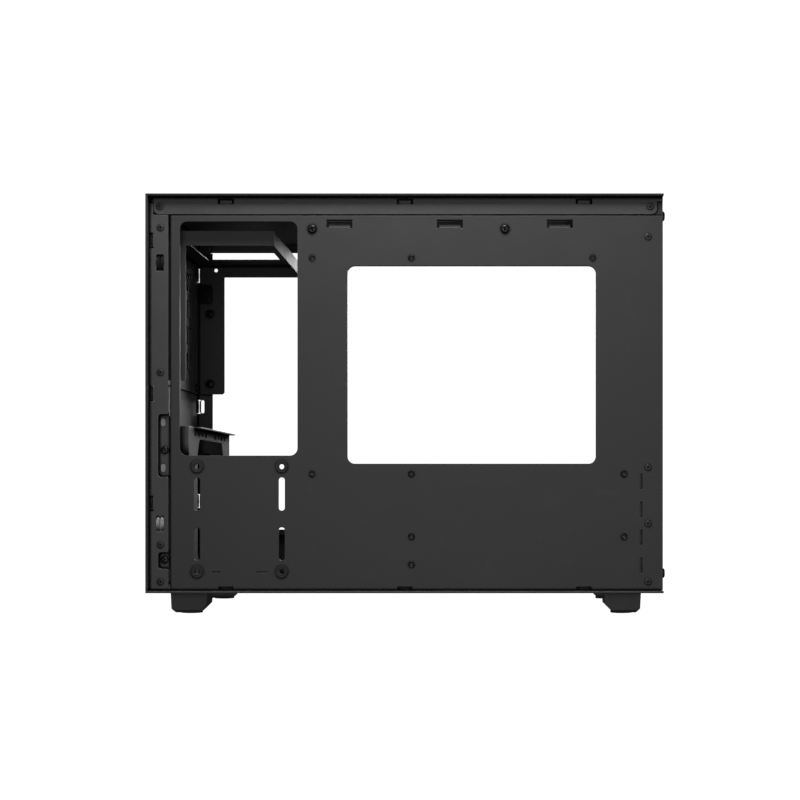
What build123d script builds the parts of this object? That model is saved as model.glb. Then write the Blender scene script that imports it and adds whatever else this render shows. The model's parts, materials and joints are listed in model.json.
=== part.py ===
from build123d import *
import os

os.makedirs("parts", exist_ok=True)

# Millimetres. X runs to the right, Y to the rear, Z up, and the floor is at zero.
# The case stands open: both side panels are off.

# Overall size
body_length = 376.0
plate_width = 210.0
body_height = 290.0
foot_height = 16.0

# Sheet metal
plate_thick = 1.5
sheet = 1.0
overhang = 6.0
gap = 0.3
hole_room = 0.05
seam = 1.3
fold_radius = 1.2

# Fasteners
head_proud = 2.0
small_head_r = 3.0
small_head = 1.6
big_head_r = 3.6
board_thread_r = 1.4
screw_r = 1.5
recess_width = 1.2
recess_depth = 1.0
rivet_r = 1.6
rivet_head_r = 2.5
rivet_head = 0.5

# Levels and planes that every piece shares
front_y = -(body_length + head_proud) / 2
rear_y = front_y + body_length
base_z = foot_height
top_z = base_z + body_height
deck_z = top_z - plate_thick
floor_z = base_z + plate_thick
pan_z = floor_z + sheet
side_x = plate_width / 2 - overhang
skin_x = side_x - sheet
front_sheet_y = front_y + plate_thick
front_inner_y = front_sheet_y + sheet

# Columns at the front
column_depth = 14.0
column_rear = front_sheet_y + column_depth
column_top = top_z - 14.6
column_ear_top = top_z - 6.3
tray_front = column_rear + seam
tray_bottom = floor_z + 0.5
tray_top = column_top - 0.6
tray_fold = 7.0

# Top frame
strip_bottom = top_z - 14.1
strip_front = front_y + 4.9
strip_rear = rear_y - 4.3
strip_corner = 4.0
rim_z = deck_z - sheet
recess_depth_z = 4.5
recess_half_x = side_x - 13.0
top_fan_setback = 75.0
long_slot_x = 70.0
long_slot_y = 27.0
long_slot = 46.0
recess_front = front_y + 19.0
recess_rear = rear_y - 17.0
front_skirt_bottom = top_z - 17.0

# Rear wall
rear_recess = 15.5
wall_y = rear_y - rear_recess
wall_rear_y = wall_y + sheet
lip_width = 3.7
ear_width = 12.0
ear_height = 14.0
panel_screw_high = top_z - 14.5
panel_screw_low = base_z + 14.0

# Board holes: four columns from the rear, four rows from the top
board_setback = 28.3
board_drop = 46.0
board_pitch_y = 154.94
board_pitch_far = 227.33
board_step = 22.86
board_pitch_z = 157.48
board_row_low = 203.2
board_row_last = 223.52
hole_rear = rear_y - board_setback
hole_top = top_z - board_drop
hole_mid = hole_rear - board_pitch_y
hole_front = hole_rear - board_pitch_far
hole_near = hole_rear - board_step
board_holes = [
    (hole_near, hole_top),
    (hole_mid, hole_top),
    (hole_front, hole_top),
    (hole_rear, hole_top - board_pitch_z),
    (hole_mid, hole_top - board_pitch_z),
    (hole_front, hole_top - board_pitch_z),
    (hole_rear, hole_top - board_row_low),
    (hole_mid, hole_top - board_row_low),
    (hole_mid, hole_top - board_row_last),
]
standoff_length = 6.5
standoff_r = 3.2
standoff_shank_r = 1.7
standoff_lip_r = 2.4
standoff_lip = 0.5
standoff_wall = 1.5
standoff_dimple = 0.6
board_thick = 1.6

# Tray cut-outs
window_front_y = tray_front + 7.0
window_front_setback = 10.7
window_front_bottom = base_z + 100.0
window_front_height = 170.6
cooler_y = hole_front + 25.6
cooler_length = 181.3
cooler_drop = 149.9
cooler_bottom = hole_top - cooler_drop
cooler_height = 144.2
window_corner = 5.5
window_rim = 3.0

# Drive place on the tray
drive_hole_y = tray_front + 19.7
drive_pitch_y = 61.72
drive_hole_z = base_z + 15.3
drive_pitch_z = 76.6
grommet_r = 4.5
grommet_neck_r = 3.0
grommet_bore_r = 1.8
grommet_lip = 0.8
drive_slot_width = 4.4
drive_slot_height = 24.1
drive_slot_low = drive_hole_z + 8.2
drive_slot_high = drive_hole_z + 44.6

# Cable anchors, tray screws and panel hooks
anchor_width = 19.0
anchor_height = 6.1
anchor_z = tray_top - 5.9
anchor_steps = [-52.5, 28.0, 108.2]
anchor_ys = [hole_mid + step for step in anchor_steps]
anchor_sink = 3.6
anchor_opening = 2.7
tray_screw_z = tray_top - 9.7
tray_screw_pitch = 140.6
tray_screw_ys = [hole_front, hole_front + tray_screw_pitch]
tab_half = 7.0
tab_bottom = tray_screw_z - 6.0
hook_length = 12.0
hook_pitch = 130.5
hook_centre = (front_y + rear_y) / 2
hook_slot_bottom = top_z - 7.0
hook_tongue_half = 4.2
hook_tongue_height = 2.9
hook_tongue_sink = 0.4

# Expansion slots
slot_count = 4
slot_pitch = 20.32
slot_first_z = hole_top - board_pitch_z - 5.4
cover_width = 18.4
cover_thick = 0.9
tongue_width = 10.4
tongue_end = skin_x - 4.0
slot_open_width = 12.8
slot_open_right = tongue_end - 2.0
slot_open_left = -15.0
cover_bend_x = -20.8
cover_tab = 11.0
cover_hole_y = wall_rear_y + cover_tab / 2 + 1
ledge_depth = 13.5

# Ports opening at the rear for the board
aperture_height = 158.75
aperture_width = 44.45
aperture_bottom = hole_top - board_pitch_z + 6.4
aperture_right = skin_x - standoff_length - board_thick + 3.8
aperture_left = aperture_right - aperture_width

# Rear fan vent
fan_size = 120.0
fan_pitch = 105.0
fan_hole_r = 2.2
vent_r = 56.0
rear_fan_x = aperture_left - 75.0
rear_fan_z = hole_top - 52.0
vent_slot = 5.4
vent_pitch = 9.0

# Power inlet
inlet_x = -side_x + 33.0
inlet_z = base_z + 22.0
inlet_body_x = 27.0
inlet_body_z = 19.5
inlet_depth = 22.0
inlet_flange_x = 50.0
inlet_flange_z = 22.5
inlet_flange = 2.0
inlet_wall = 1.5
inlet_screw_pitch = 40.0
inlet_head_r = 2.6
inlet_head = 1.4
inlet_screw_length = 7.0
pin_pitch = 14.0

# Supply bracket
supply_right = skin_x - 13.0
supply_front = front_inner_y
supply_top = top_z - 24.0
supply_rear = supply_front + 88.3
supply_leg_rise = 155.6
supply_leg_bottom = base_z + supply_leg_rise
supply_leg_depth = 23.2
supply_bar_bottom = supply_top - 11.0
supply_window_x = 120.0
supply_window_y = 60.0
supply_centre_x = (supply_right - skin_x) / 2
supply_centre_y = (supply_front + sheet + supply_rear) / 2
supply_holes = [(-69.0, 37.0), (69.0, 37.0), (-69.0, -27.0), (45.0, -37.0)]
supply_screw_y = supply_front + 10.6
supply_screw_zs = [supply_leg_bottom + 8.8, supply_leg_bottom + 68.3]
supply_grille_half = 66.0
supply_screw_inset = 12.0
supply_side_hole_y = supply_front + 16.0

# Lower front bracket
bay_depth = 26.2
bay_y = front_inner_y + bay_depth
bay_right = skin_x - 4.0
bay_height = 121.7
bay_top = base_z + bay_height
bay_lip = 6.1
bay_lip_right = bay_right - 22.0
bay_centre_x = -4.0
bay_centre_z = base_z + 64.7
bay_half_low = fan_pitch / 2 + 9.0
bay_half_high = fan_pitch / 2
bay_half_z = fan_pitch / 2 - 4.0
bay_corner = 11.2
bay_slot_x = 8.0
bay_slot_z = 4.4
bay_slot_spans = [44.45, 76.6, fan_pitch, 138.0]
bay_flange = 10.6
bay_foot = 10.0
bay_screw_inset = 30.0
bay_screw_xs = [-side_x + bay_screw_inset, bay_right - bay_screw_inset]
bay_screw_y = bay_y + bay_foot / 2 + 1
bay_side_screw_y = column_rear - 5.0
bay_side_screw_zs = [pan_z + 15.0, bay_top - 20.0]

# Left sill
sill_top = base_z + 40.8
sill_lip = 8.0
sill_return = 4.4

# Front port housing, behind the right column
housing_left = side_x - 21.0
housing_width = 12.0
housing_depth = 13.4
housing_low = base_z + 19.0
housing_height = 110.0
housing_wall = 1.5
housing_x = housing_left + housing_width / 2
housing_rear = front_inner_y + housing_depth
pocket_depth = 7.5
pocket_sink = 2.0
pocket_x = skin_x - pocket_sink
pocket_corner = 2.2
pockets = [(base_z + 84.4, 45.9, 19.6), (base_z + 17.4, 12.1, 6.5)]
pocket_screw_y = column_rear - pocket_depth / 2 + 0.6
pocket_head_r = 2.6
pocket_head = 0.95
peg_y = pocket_screw_y - 1.0
peg_rise = 90.9
peg_pitch = 33.5
peg_zs = [base_z + peg_rise, base_z + peg_rise + peg_pitch]
peg_width = 3.4
peg_height = 6.0
ear_thick = 1.5
power_z = housing_low + 99.0
light_z = housing_low + 90.0
reset_z = housing_low + 76.0
audio_z = housing_low + 64.0
usb_zs = [housing_low + 49.0, housing_low + 31.5]
usb_c_z = housing_low + 17.0
boss_zs = [housing_low + 83.5, housing_low + 7.0]
boss_r = 2.4
board_screw_r = 0.85
board_y = front_inner_y + housing_wall + 8.0
power_r = 3.4
reset_r = 1.9
button_flange = 0.7
button_flange_thick = 0.8
light_r = 1.5
audio_r = 3.1
usb_x = 5.9
usb_z = 13.2
usb_wall = 0.4
usb_c_x = 3.3
usb_c_zsize = 9.0
button_travel = 1.0
plunger_r = 1.7
switch_size = 6.0
switch_height = 4.2
port_face = front_y + 0.3
switch_front = board_y - switch_height
switch_floor = 0.8
stem_end = switch_front - 1.2

# Panel catches and front-panel clips
catch_y = front_sheet_y + 8.0
catch_high = 240.6
catch_low = 50.5
catch_zs = [base_z + catch_high, base_z + catch_low]
catch_slot_y = 5.5
catch_slot_z = 12.0
catch_depth = 7.0
catch_slit = 1.2
catch_base_y = 10.0
catch_base_z = 15.0
catch_base_x = side_x - 3.0
catch_room = 0.5
clip_high = 256.7
clip_middle = 145.2
clip_low = 65.0
clip_zs = [base_z + clip_high, base_z + clip_middle, base_z + clip_low]
clip_notch_z = 11.6
clip_notch_y = 2.8
clip_arm_y = 2.5
clip_room = 0.3
clip_sink = 1.4
clip_notch_x = 4.5
clip_ear = 0.9
clip_slot_y = front_sheet_y + 5.5
clip_slot_width = 2.7
clip_slot_height = 11.0

# Feet
foot_x = 26.0
foot_y = 27.0
foot_inset = 15.0
foot_front_gap = 15.5
foot_rear_gap = 15.0
foot_taper = 0.6
foot_small_chamfer = 3.0
foot_big_chamfer = 6.0
foot_side_chamfer = 2.0
pad_r = 8.0
pad_height = 1.6
pad_seat = 0.8
foot_screw_z = 8.0

# Vent fields
panel_slot_x = 4.0
panel_slot_z = 20.0
panel_pitch_x = 12.0
panel_pitch_z = 27.0
panel_columns = 11
panel_rows = 9
cover_slot_start = 24.0
cover_slot_x = 4.0
cover_slot_y = 34.0
cover_pitch_x = 12.0
cover_pitch_y = 41.0
cover_columns = 11
cover_rows = 6
floor_slot_y = 34.0
floor_columns = 7
floor_rows = 3
floor_vent_x = -10.0
supply_slot_x = 6.0
supply_slot_z = 15.0
supply_slot_start = 16.0
supply_pitch_x = 13.0
supply_pitch_z = 22.0
supply_columns = 9
supply_rows = 4


def block(x0, x1, y0, y1, z0, z1):
    centre = Pos((x0 + x1) / 2, (y0 + y1) / 2, (z0 + z1) / 2)
    return centre * Box(x1 - x0, y1 - y0, z1 - z0)


def bar_x(x0, x1, y, z, r):
    return Pos((x0 + x1) / 2, y, z) * Rot(0, 90, 0) * Cylinder(r, x1 - x0)


def bar_y(x, y0, y1, z, r):
    return Pos(x, (y0 + y1) / 2, z) * Rot(90, 0, 0) * Cylinder(r, y1 - y0)


def bar_z(x, y, z0, z1, r):
    return Pos(x, y, (z0 + z1) / 2) * Cylinder(r, z1 - z0)


# A flat outline in Y and Z, pushed along X.
def slab_x(points, x0, x1):
    return extrude(Plane.YZ.offset(x0) * Polygon(*points, align=None), amount=x1 - x0)


# A flat outline in X and Z, pushed along Y.
def slab_y(points, y0, y1):
    return extrude(Plane.XZ.offset(-y1) * Polygon(*points, align=None), amount=y1 - y0)


# A flat outline in X and Y, pushed along Z.
def slab_z(points, z0, z1):
    return extrude(Plane.XY.offset(z0) * Polygon(*points, align=None), amount=z1 - z0)


def rounded_window(x0, x1, y0, y1, z0, z1, radius):
    solid = block(x0, x1, y0, y1, z0, z1)
    return fillet(solid.edges().filter_by(Axis.X), radius)


# An eight-sided outline about a centre, cut at 45 degrees or so at its corners.
def octagon(cu, cv, half_u, half_v, flat_u, flat_v):
    corners = [
        (flat_u, half_v), (-flat_u, half_v), (-half_u, flat_v), (-half_u, -flat_v),
        (-flat_u, -half_v), (flat_u, -half_v), (half_u, -flat_v), (half_u, flat_v),
    ]
    return [(cu + u, cv + v) for u, v in corners]


def mirrored(shapes):
    return [mirror(shape, Plane.YZ) for shape in shapes]


turns = {
    "+X": Rot(0, 90, 0),
    "-X": Rot(0, -90, 0),
    "+Y": Rot(-90, 0, 0),
    "-Y": Rot(90, 0, 0),
    "+Z": Rot(0, 0, 0),
    "-Z": Rot(180, 0, 0),
}


# A screw with its head's underside at the given point and its head facing the given way.
def screw(x, y, z, facing, head_r, head_height, shank_r, length, crossed=True):
    head = Pos(0, 0, head_height / 2) * Cylinder(head_r, head_height)
    head = chamfer(head.edges().sort_by(Axis.Z)[-1], head_height * 0.35)
    shank = Pos(0, 0, -length / 2) * Cylinder(shank_r, length)
    body = head + shank
    if crossed:
        arm = head_r * 1.15
        notch_z = head_height - recess_depth / 2
        slots = [
            Pos(0, 0, notch_z) * Box(arm, recess_width, recess_depth),
            Pos(0, 0, notch_z) * Box(recess_width, arm, recess_depth),
        ]
        body = body - slots
    return Pos(x, y, z) * turns[facing] * body


# A rivet through sheets along X, its outer head on the plane outer_x.
def rivet(outer_x, y, z, through):
    sign = 1 if outer_x > 0 else -1
    inner_x = outer_x - sign * through
    outer_end = outer_x + sign * rivet_head
    inner_end = inner_x - sign * rivet_head
    shank = bar_x(min(outer_x, inner_x), max(outer_x, inner_x), y, z, rivet_r)
    outer = bar_x(min(outer_x, outer_end), max(outer_x, outer_end), y, z, rivet_head_r)
    inner = bar_x(min(inner_x, inner_end), max(inner_x, inner_end), y, z, rivet_head_r)
    return shank + outer + inner


def save(shape, name):
    export_step(shape, "parts/" + name + ".step")


def save_group(shapes, name):
    export_step(Compound(children=list(shapes)), "parts/" + name + ".step")


# Places of the rivets as (Y, Z, thickness that they pass).
rear_rivet_y = rear_y - 10.7
column_rivet_y = front_sheet_y + 8.3
tray_rivets = [
    (rear_rivet_y, tray_top - 15.4, 2 * sheet),
    (rear_rivet_y, base_z + 91.4, 2 * sheet),
    (rear_rivet_y, base_z + 50.3, 2 * sheet),
    (rear_rivet_y, base_z + 7.9, 2 * sheet),
]
column_rivet_drop = 114.9
column_rivets = [
    (column_rivet_y, column_top - 9.4, 2 * sheet),
    (column_rivet_y, column_top - column_rivet_drop, sheet),
    (column_rivet_y, base_z + 34.8, sheet),
    (column_rivet_y, base_z + 8.0, 2 * sheet),
]
strip_rivets = [
    (front_sheet_y + 7.8, strip_bottom + 5.5, 2 * sheet),
    (rear_y - 9.1, strip_bottom + 5.5, 2 * sheet),
]


def rivet_holes(places, outward):
    holes = []
    for y, z, through in places:
        x0 = outward * (side_x - through - gap)
        x1 = outward * (side_x + gap)
        holes.append(bar_x(min(x0, x1), max(x0, x1), y, z, rivet_r + hole_room))
    return holes


def slot_field(x_centre, v_start, columns, rows, pitch_x, pitch_v):
    places = []
    for column in range(columns):
        for row in range(rows):
            x = x_centre + (column - (columns - 1) / 2) * pitch_x
            places.append((x, v_start + row * pitch_v))
    return places


# Outer plates

def make_bottom_plate():
    plate = block(-plate_width / 2, plate_width / 2, front_y, rear_y, base_z, floor_z)
    return plate - floor_cuts() - foot_screw_holes()


def make_top_cover():
    cover = block(-plate_width / 2, plate_width / 2, front_y, rear_y, deck_z, top_z)
    slots = []
    start = supply_rear + cover_slot_start
    for x, y in slot_field(0, start, cover_columns, cover_rows, cover_pitch_x, cover_pitch_y):
        half = cover_slot_x / 2
        slots.append(block(x - half, x + half, y, y + cover_slot_y, deck_z - 1, top_z + 1))
    return cover - slots


def port_openings(y0, y1, room):
    cuts = [
        bar_y(housing_x, y0, y1, power_z, power_r + room),
        bar_y(housing_x, y0, y1, light_z, light_r + room),
        bar_y(housing_x, y0, y1, reset_z, reset_r + room),
        bar_y(housing_x, y0, y1, audio_z, audio_r + room),
    ]
    for z in usb_zs:
        half_x = usb_x / 2 + room
        half_z = usb_z / 2 + room
        cuts.append(block(housing_x - half_x, housing_x + half_x, y0, y1, z - half_z, z + half_z))
    half_x = usb_c_x / 2 + room
    half_z = usb_c_zsize / 2 + room
    port_c = block(housing_x - half_x, housing_x + half_x, y0, y1, usb_c_z - half_z, usb_c_z + half_z)
    cuts.append(port_c)
    return cuts


def make_front_panel():
    half = plate_width / 2
    panel = block(-half, half, front_y, front_sheet_y, floor_z, deck_z)
    cuts = port_openings(front_y - 1, front_sheet_y + 1, gap)
    start = floor_z + 24.0
    for x, z in slot_field(0, start, panel_columns, panel_rows, panel_pitch_x, panel_pitch_z):
        wide = panel_slot_x / 2
        cuts.append(block(x - wide, x + wide, front_y - 1, front_sheet_y + 1, z, z + panel_slot_z))
    return panel - cuts


def make_front_panel_clips():
    clips = []
    for z in clip_zs:
        height = clip_notch_z / 2 - clip_room
        x0 = side_x - clip_notch_x + clip_room
        x1 = side_x - clip_sink
        arm = block(x0, x1, front_sheet_y, front_sheet_y + clip_arm_y, z - height, z + height)
        barb = block(x1 - sheet, x1 + 0.6, front_sheet_y + clip_arm_y - 1.2, front_sheet_y + clip_arm_y,
                     z - 2, z + 2)
        clips.append(arm + barb)
    return clips + mirrored(clips)


def clip_notches(y0, y1, extra=0.0):
    cuts = []
    for z in clip_zs:
        half = clip_notch_z / 2 + extra
        x0 = side_x - clip_notch_x - extra
        cuts.append(block(x0, side_x + 1, y0, y1 + extra, z - half, z + half))
        for edge in (z - half, z + half - clip_ear):
            cuts.append(block(skin_x - extra, side_x + 1, y0, y1 + clip_ear, edge, edge + clip_ear))
    return cuts + mirrored(cuts)


# Chassis sheets

def catch_windows(x0, x1, extra=0.0):
    cuts = []
    for z in catch_zs:
        half_y = catch_slot_y / 2 + extra
        half_z = catch_slot_z / 2 + extra
        cuts.append(block(x0, x1, catch_y - half_y, catch_y + half_y, z - half_z, z + half_z))
    return cuts


def make_column(tab_z0):
    flange = block(skin_x, side_x, front_sheet_y, column_rear, pan_z, column_top)
    ear = block(skin_x, side_x, front_sheet_y, strip_front - 0.5, pan_z, column_ear_top)
    tab_y0 = front_inner_y + sheet + gap
    tab = block(skin_x - sheet, skin_x, tab_y0, column_rear - 1.5, tab_z0, rim_z - gap)
    return flange + ear + tab - catch_windows(skin_x - 1, side_x + 1)


def pocket_floor():
    floors = []
    for z0, height, _ in pockets:
        rim = sheet
        y0 = column_rear - pocket_depth - rim
        floors.append(block(pocket_x - sheet, skin_x, y0, column_rear, z0 - rim, z0 + height + rim))
    return floors


def pocket_cuts():
    cuts = []
    for z0, height, _ in pockets:
        y0 = column_rear - pocket_depth
        cuts.append(rounded_window(pocket_x, side_x + 1, y0, column_rear + pocket_depth,
                                   z0, z0 + height, pocket_corner))
    return cuts


def peg(x0, x1, z, room):
    half_y = peg_width / 2 + room
    half_z = peg_height / 2 + room
    return rounded_window(x0, x1, peg_y - half_y, peg_y + half_y, z - half_z, z + half_z, half_y * 0.95)


def make_pegs():
    return [peg(pocket_x - sheet, pocket_x + 0.3, z, 0.0) for z in peg_zs]


def pocket_holes():
    holes = []
    for z0, _, up in pockets:
        holes.append(bar_x(pocket_x - 2, pocket_x + 1, pocket_screw_y, z0 + up, screw_r + hole_room))
    for z in peg_zs:
        holes.append(peg(pocket_x - 2, pocket_x + 1, z, hole_room))
    return holes


def make_front_frame():
    front = block(-side_x, side_x, front_sheet_y, front_inner_y, pan_z, column_ear_top)
    fan_window = slab_y(
        octagon(bay_centre_x, bay_centre_z, bay_half_low, bay_half_z, bay_half_high, bay_half_z - bay_corner),
        front_sheet_y - 1, front_inner_y + 1)
    supply_window = block(
        supply_centre_x - supply_grille_half, supply_centre_x + supply_grille_half,
        front_sheet_y - 1, front_inner_y + 1,
        supply_leg_bottom + 10, supply_bar_bottom - 4)
    port_window = block(
        housing_left + 0.5, housing_left + housing_width - 0.5, front_sheet_y - 1, front_inner_y + 1,
        housing_low + 2, housing_low + housing_height - 2)
    right = make_column(column_top - 14.0)
    left = mirror(make_column(supply_top + gap), Plane.YZ)
    frame = front + right + left + pocket_floor()
    frame = frame - [fan_window, supply_window, port_window]
    frame = frame - pocket_cuts() - pocket_holes()
    frame = frame - clip_notches(front_sheet_y - 1, front_sheet_y + clip_notch_y)
    slot_z = base_z + clip_middle - clip_slot_height / 2
    frame = frame - rounded_window(-side_x - 1, -skin_x + 1, clip_slot_y - clip_slot_width / 2,
                                   clip_slot_y + clip_slot_width / 2, slot_z, slot_z + clip_slot_height,
                                   clip_slot_width * 0.45)
    frame = frame - rivet_holes(column_rivets + strip_rivets[:1], 1)
    frame = frame - rivet_holes(strip_rivets[:1] + column_rivets[3:], -1)
    return frame - supply_screw_holes() - bay_screw_holes()


def floor_cuts():
    cuts = []
    start = hole_mid - 60.0
    places = slot_field(floor_vent_x, start, floor_columns, floor_rows, cover_pitch_x, cover_pitch_y)
    for x, y in places:
        half = cover_slot_x / 2
        cuts.append(block(x - half, x + half, y, y + floor_slot_y, base_z - 1, pan_z + 1))
    return cuts


def make_bottom_frame():
    pan = block(-skin_x, skin_x, front_sheet_y, rear_y - sheet, floor_z, pan_z)
    sill_y0 = tray_front
    sill_y1 = wall_y - gap
    sill = block(-side_x, -skin_x, sill_y0, sill_y1, floor_z, sill_top)
    lip_y0 = bay_y + bay_lip + gap
    hem_x = -side_x + sill_lip
    lip = block(-side_x, hem_x, lip_y0, sill_y1, sill_top - sheet, sill_top)
    hem = block(hem_x - sheet, hem_x, lip_y0, sill_y1, sill_top - sill_return, sill_top)
    side = block(skin_x - sheet, skin_x, bay_y + 3, wall_y - gap, floor_z, pan_z + 6)
    tab_y0 = front_inner_y + gap
    tab = block(skin_x - sheet, skin_x, tab_y0, column_rear - 1, floor_z, pan_z + 10.5)
    pan = pan + [sill, lip, hem, side, tab]
    pan = pan - floor_cuts() - foot_screw_holes() - rivet_holes(column_rivets[3:], 1)
    return pan - bay_screw_holes()


def anchor_cuts():
    cuts = []
    for y in anchor_ys:
        half = anchor_width / 2
        z0 = anchor_z - anchor_height / 2
        z1 = anchor_z + anchor_height / 2
        cuts.append(block(skin_x - 1, side_x + 1, y - half, y + half, z0, z1))
    return cuts


# Each cable anchor is a tongue pressed inward, open along its top.
def anchor_tongues():
    tongues = []
    z0 = anchor_z - anchor_height / 2
    z1 = anchor_z + anchor_height / 2 - anchor_opening
    outline = [
        (skin_x, z0 - 0.5), (side_x, z0 - 0.5), (side_x, z0 + 0.4),
        (side_x - anchor_sink, z1), (skin_x - anchor_sink, z1), (skin_x, z0 + 0.2),
    ]
    for y in anchor_ys:
        half = anchor_width / 2 - 1.8
        tongues.append(slab_y(outline, y - half, y + half))
    return tongues


def make_window_rim(y0, length, z0, height):
    y1 = y0 + length
    z1 = z0 + height
    x0 = skin_x - window_rim
    outer = rounded_window(
        x0, skin_x, y0 - sheet, y1 + sheet, z0 - sheet, z1 + sheet, window_corner + sheet)
    inner = rounded_window(x0 - 1, side_x + 1, y0, y1, z0, z1, window_corner)
    return outer, inner


def drive_holes():
    places = []
    for dy in (0, drive_pitch_y):
        for dz in (0, drive_pitch_z):
            places.append((drive_hole_y + dy, drive_hole_z + dz))
    return places


def make_tray():
    skin = block(skin_x, side_x, tray_front, rear_y, tray_bottom, tray_top)
    fold_x = side_x - tray_fold
    front_fold = block(fold_x, side_x, tray_front, tray_front + sheet, pan_z + gap, tray_top)
    top_fold = block(fold_x, side_x, tray_front, wall_y - gap, tray_top - sheet, tray_top)
    tray = skin + front_fold + top_fold
    tray = fillet(tray.edges().filter_by(Axis.Z).group_by(Axis.X)[-1].sort_by(Axis.Y)[0], fold_radius)
    front_rim, front_hole = make_window_rim(
        window_front_y, hole_front - window_front_setback - window_front_y,
        window_front_bottom, window_front_height)
    cooler_rim, cooler_hole = make_window_rim(cooler_y, cooler_length, cooler_bottom, cooler_height)
    tray = tray + [front_rim, cooler_rim]
    cuts = [front_hole, cooler_hole] + anchor_cuts()
    for y, z in board_holes:
        cuts.append(bar_x(skin_x - 1, side_x + 1, y, z, standoff_shank_r + hole_room))
    for y, z in drive_holes():
        cuts.append(bar_x(skin_x - 1, side_x + 1, y, z, grommet_neck_r + hole_room))
    slot_half = drive_slot_width / 2
    for y in (drive_hole_y, drive_hole_y + drive_pitch_y):
        for z in (drive_slot_low, drive_slot_high):
            slot = rounded_window(
                skin_x - 1, side_x + 1, y - slot_half, y + slot_half, z, z + drive_slot_height,
                slot_half * 0.9)
            cuts.append(slot)
    for y in tray_screw_ys:
        cuts.append(bar_x(skin_x - 1, side_x + 1, y, tray_screw_z, screw_r + hole_room))
        cuts.append(block(fold_x - 1, skin_x, y - tab_half - 1, y + tab_half + 1, tray_top - 2, tray_top + 1))
    for row in range(slot_count):
        z = slot_first_z - row * slot_pitch
        half = tongue_width / 2 + gap
        y0 = wall_y - cover_thick - gap
        cuts.append(block(skin_x - 1, side_x + 1, y0, wall_y + 0.6, z - half, z + half))
    for step in (-1, 0, 1):
        y = hook_centre + step * hook_pitch
        cuts.append(block(skin_x - 1, side_x + 1, y - 5.5, y + 5.5, tray_bottom - 1, tray_bottom + 2.5))
    dash_z = drive_hole_z - 0.3
    for y0, y1 in ((drive_hole_y + 10.6, drive_hole_y + 17.0), (drive_hole_y + 43.0, drive_hole_y + 51.4)):
        cuts.append(block(side_x - 0.3, side_x + 1, y0, y1, dash_z - 0.4, dash_z + 0.4))
    tray = tray - cuts
    tray = tray + anchor_tongues()
    return tray - rivet_holes(tray_rivets, 1)


def slot_zs():
    return [slot_first_z - row * slot_pitch for row in range(slot_count)]


def fan_holes(x, z, y0, y1):
    holes = []
    for dx in (-fan_pitch / 2, fan_pitch / 2):
        for dz in (-fan_pitch / 2, fan_pitch / 2):
            holes.append(bar_y(x + dx, y0, y1, z + dz, fan_hole_r))
    return holes


# Upright slots that fill a round vent, each split by a bridge at half height.
def vent_cuts(y0, y1):
    cuts = []
    count = int(vent_r // vent_pitch)
    for step in range(-count, count + 1):
        x = step * vent_pitch
        reach = (vent_r ** 2 - (abs(x) + vent_slot / 2) ** 2)
        if reach <= 0:
            continue
        tall = reach ** 0.5
        x0 = rear_fan_x + x - vent_slot / 2
        x1 = rear_fan_x + x + vent_slot / 2
        cuts.append(block(x0, x1, y0, y1, rear_fan_z + 2, rear_fan_z + tall))
        cuts.append(block(x0, x1, y0, y1, rear_fan_z - tall, rear_fan_z - 2))
    return cuts


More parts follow.
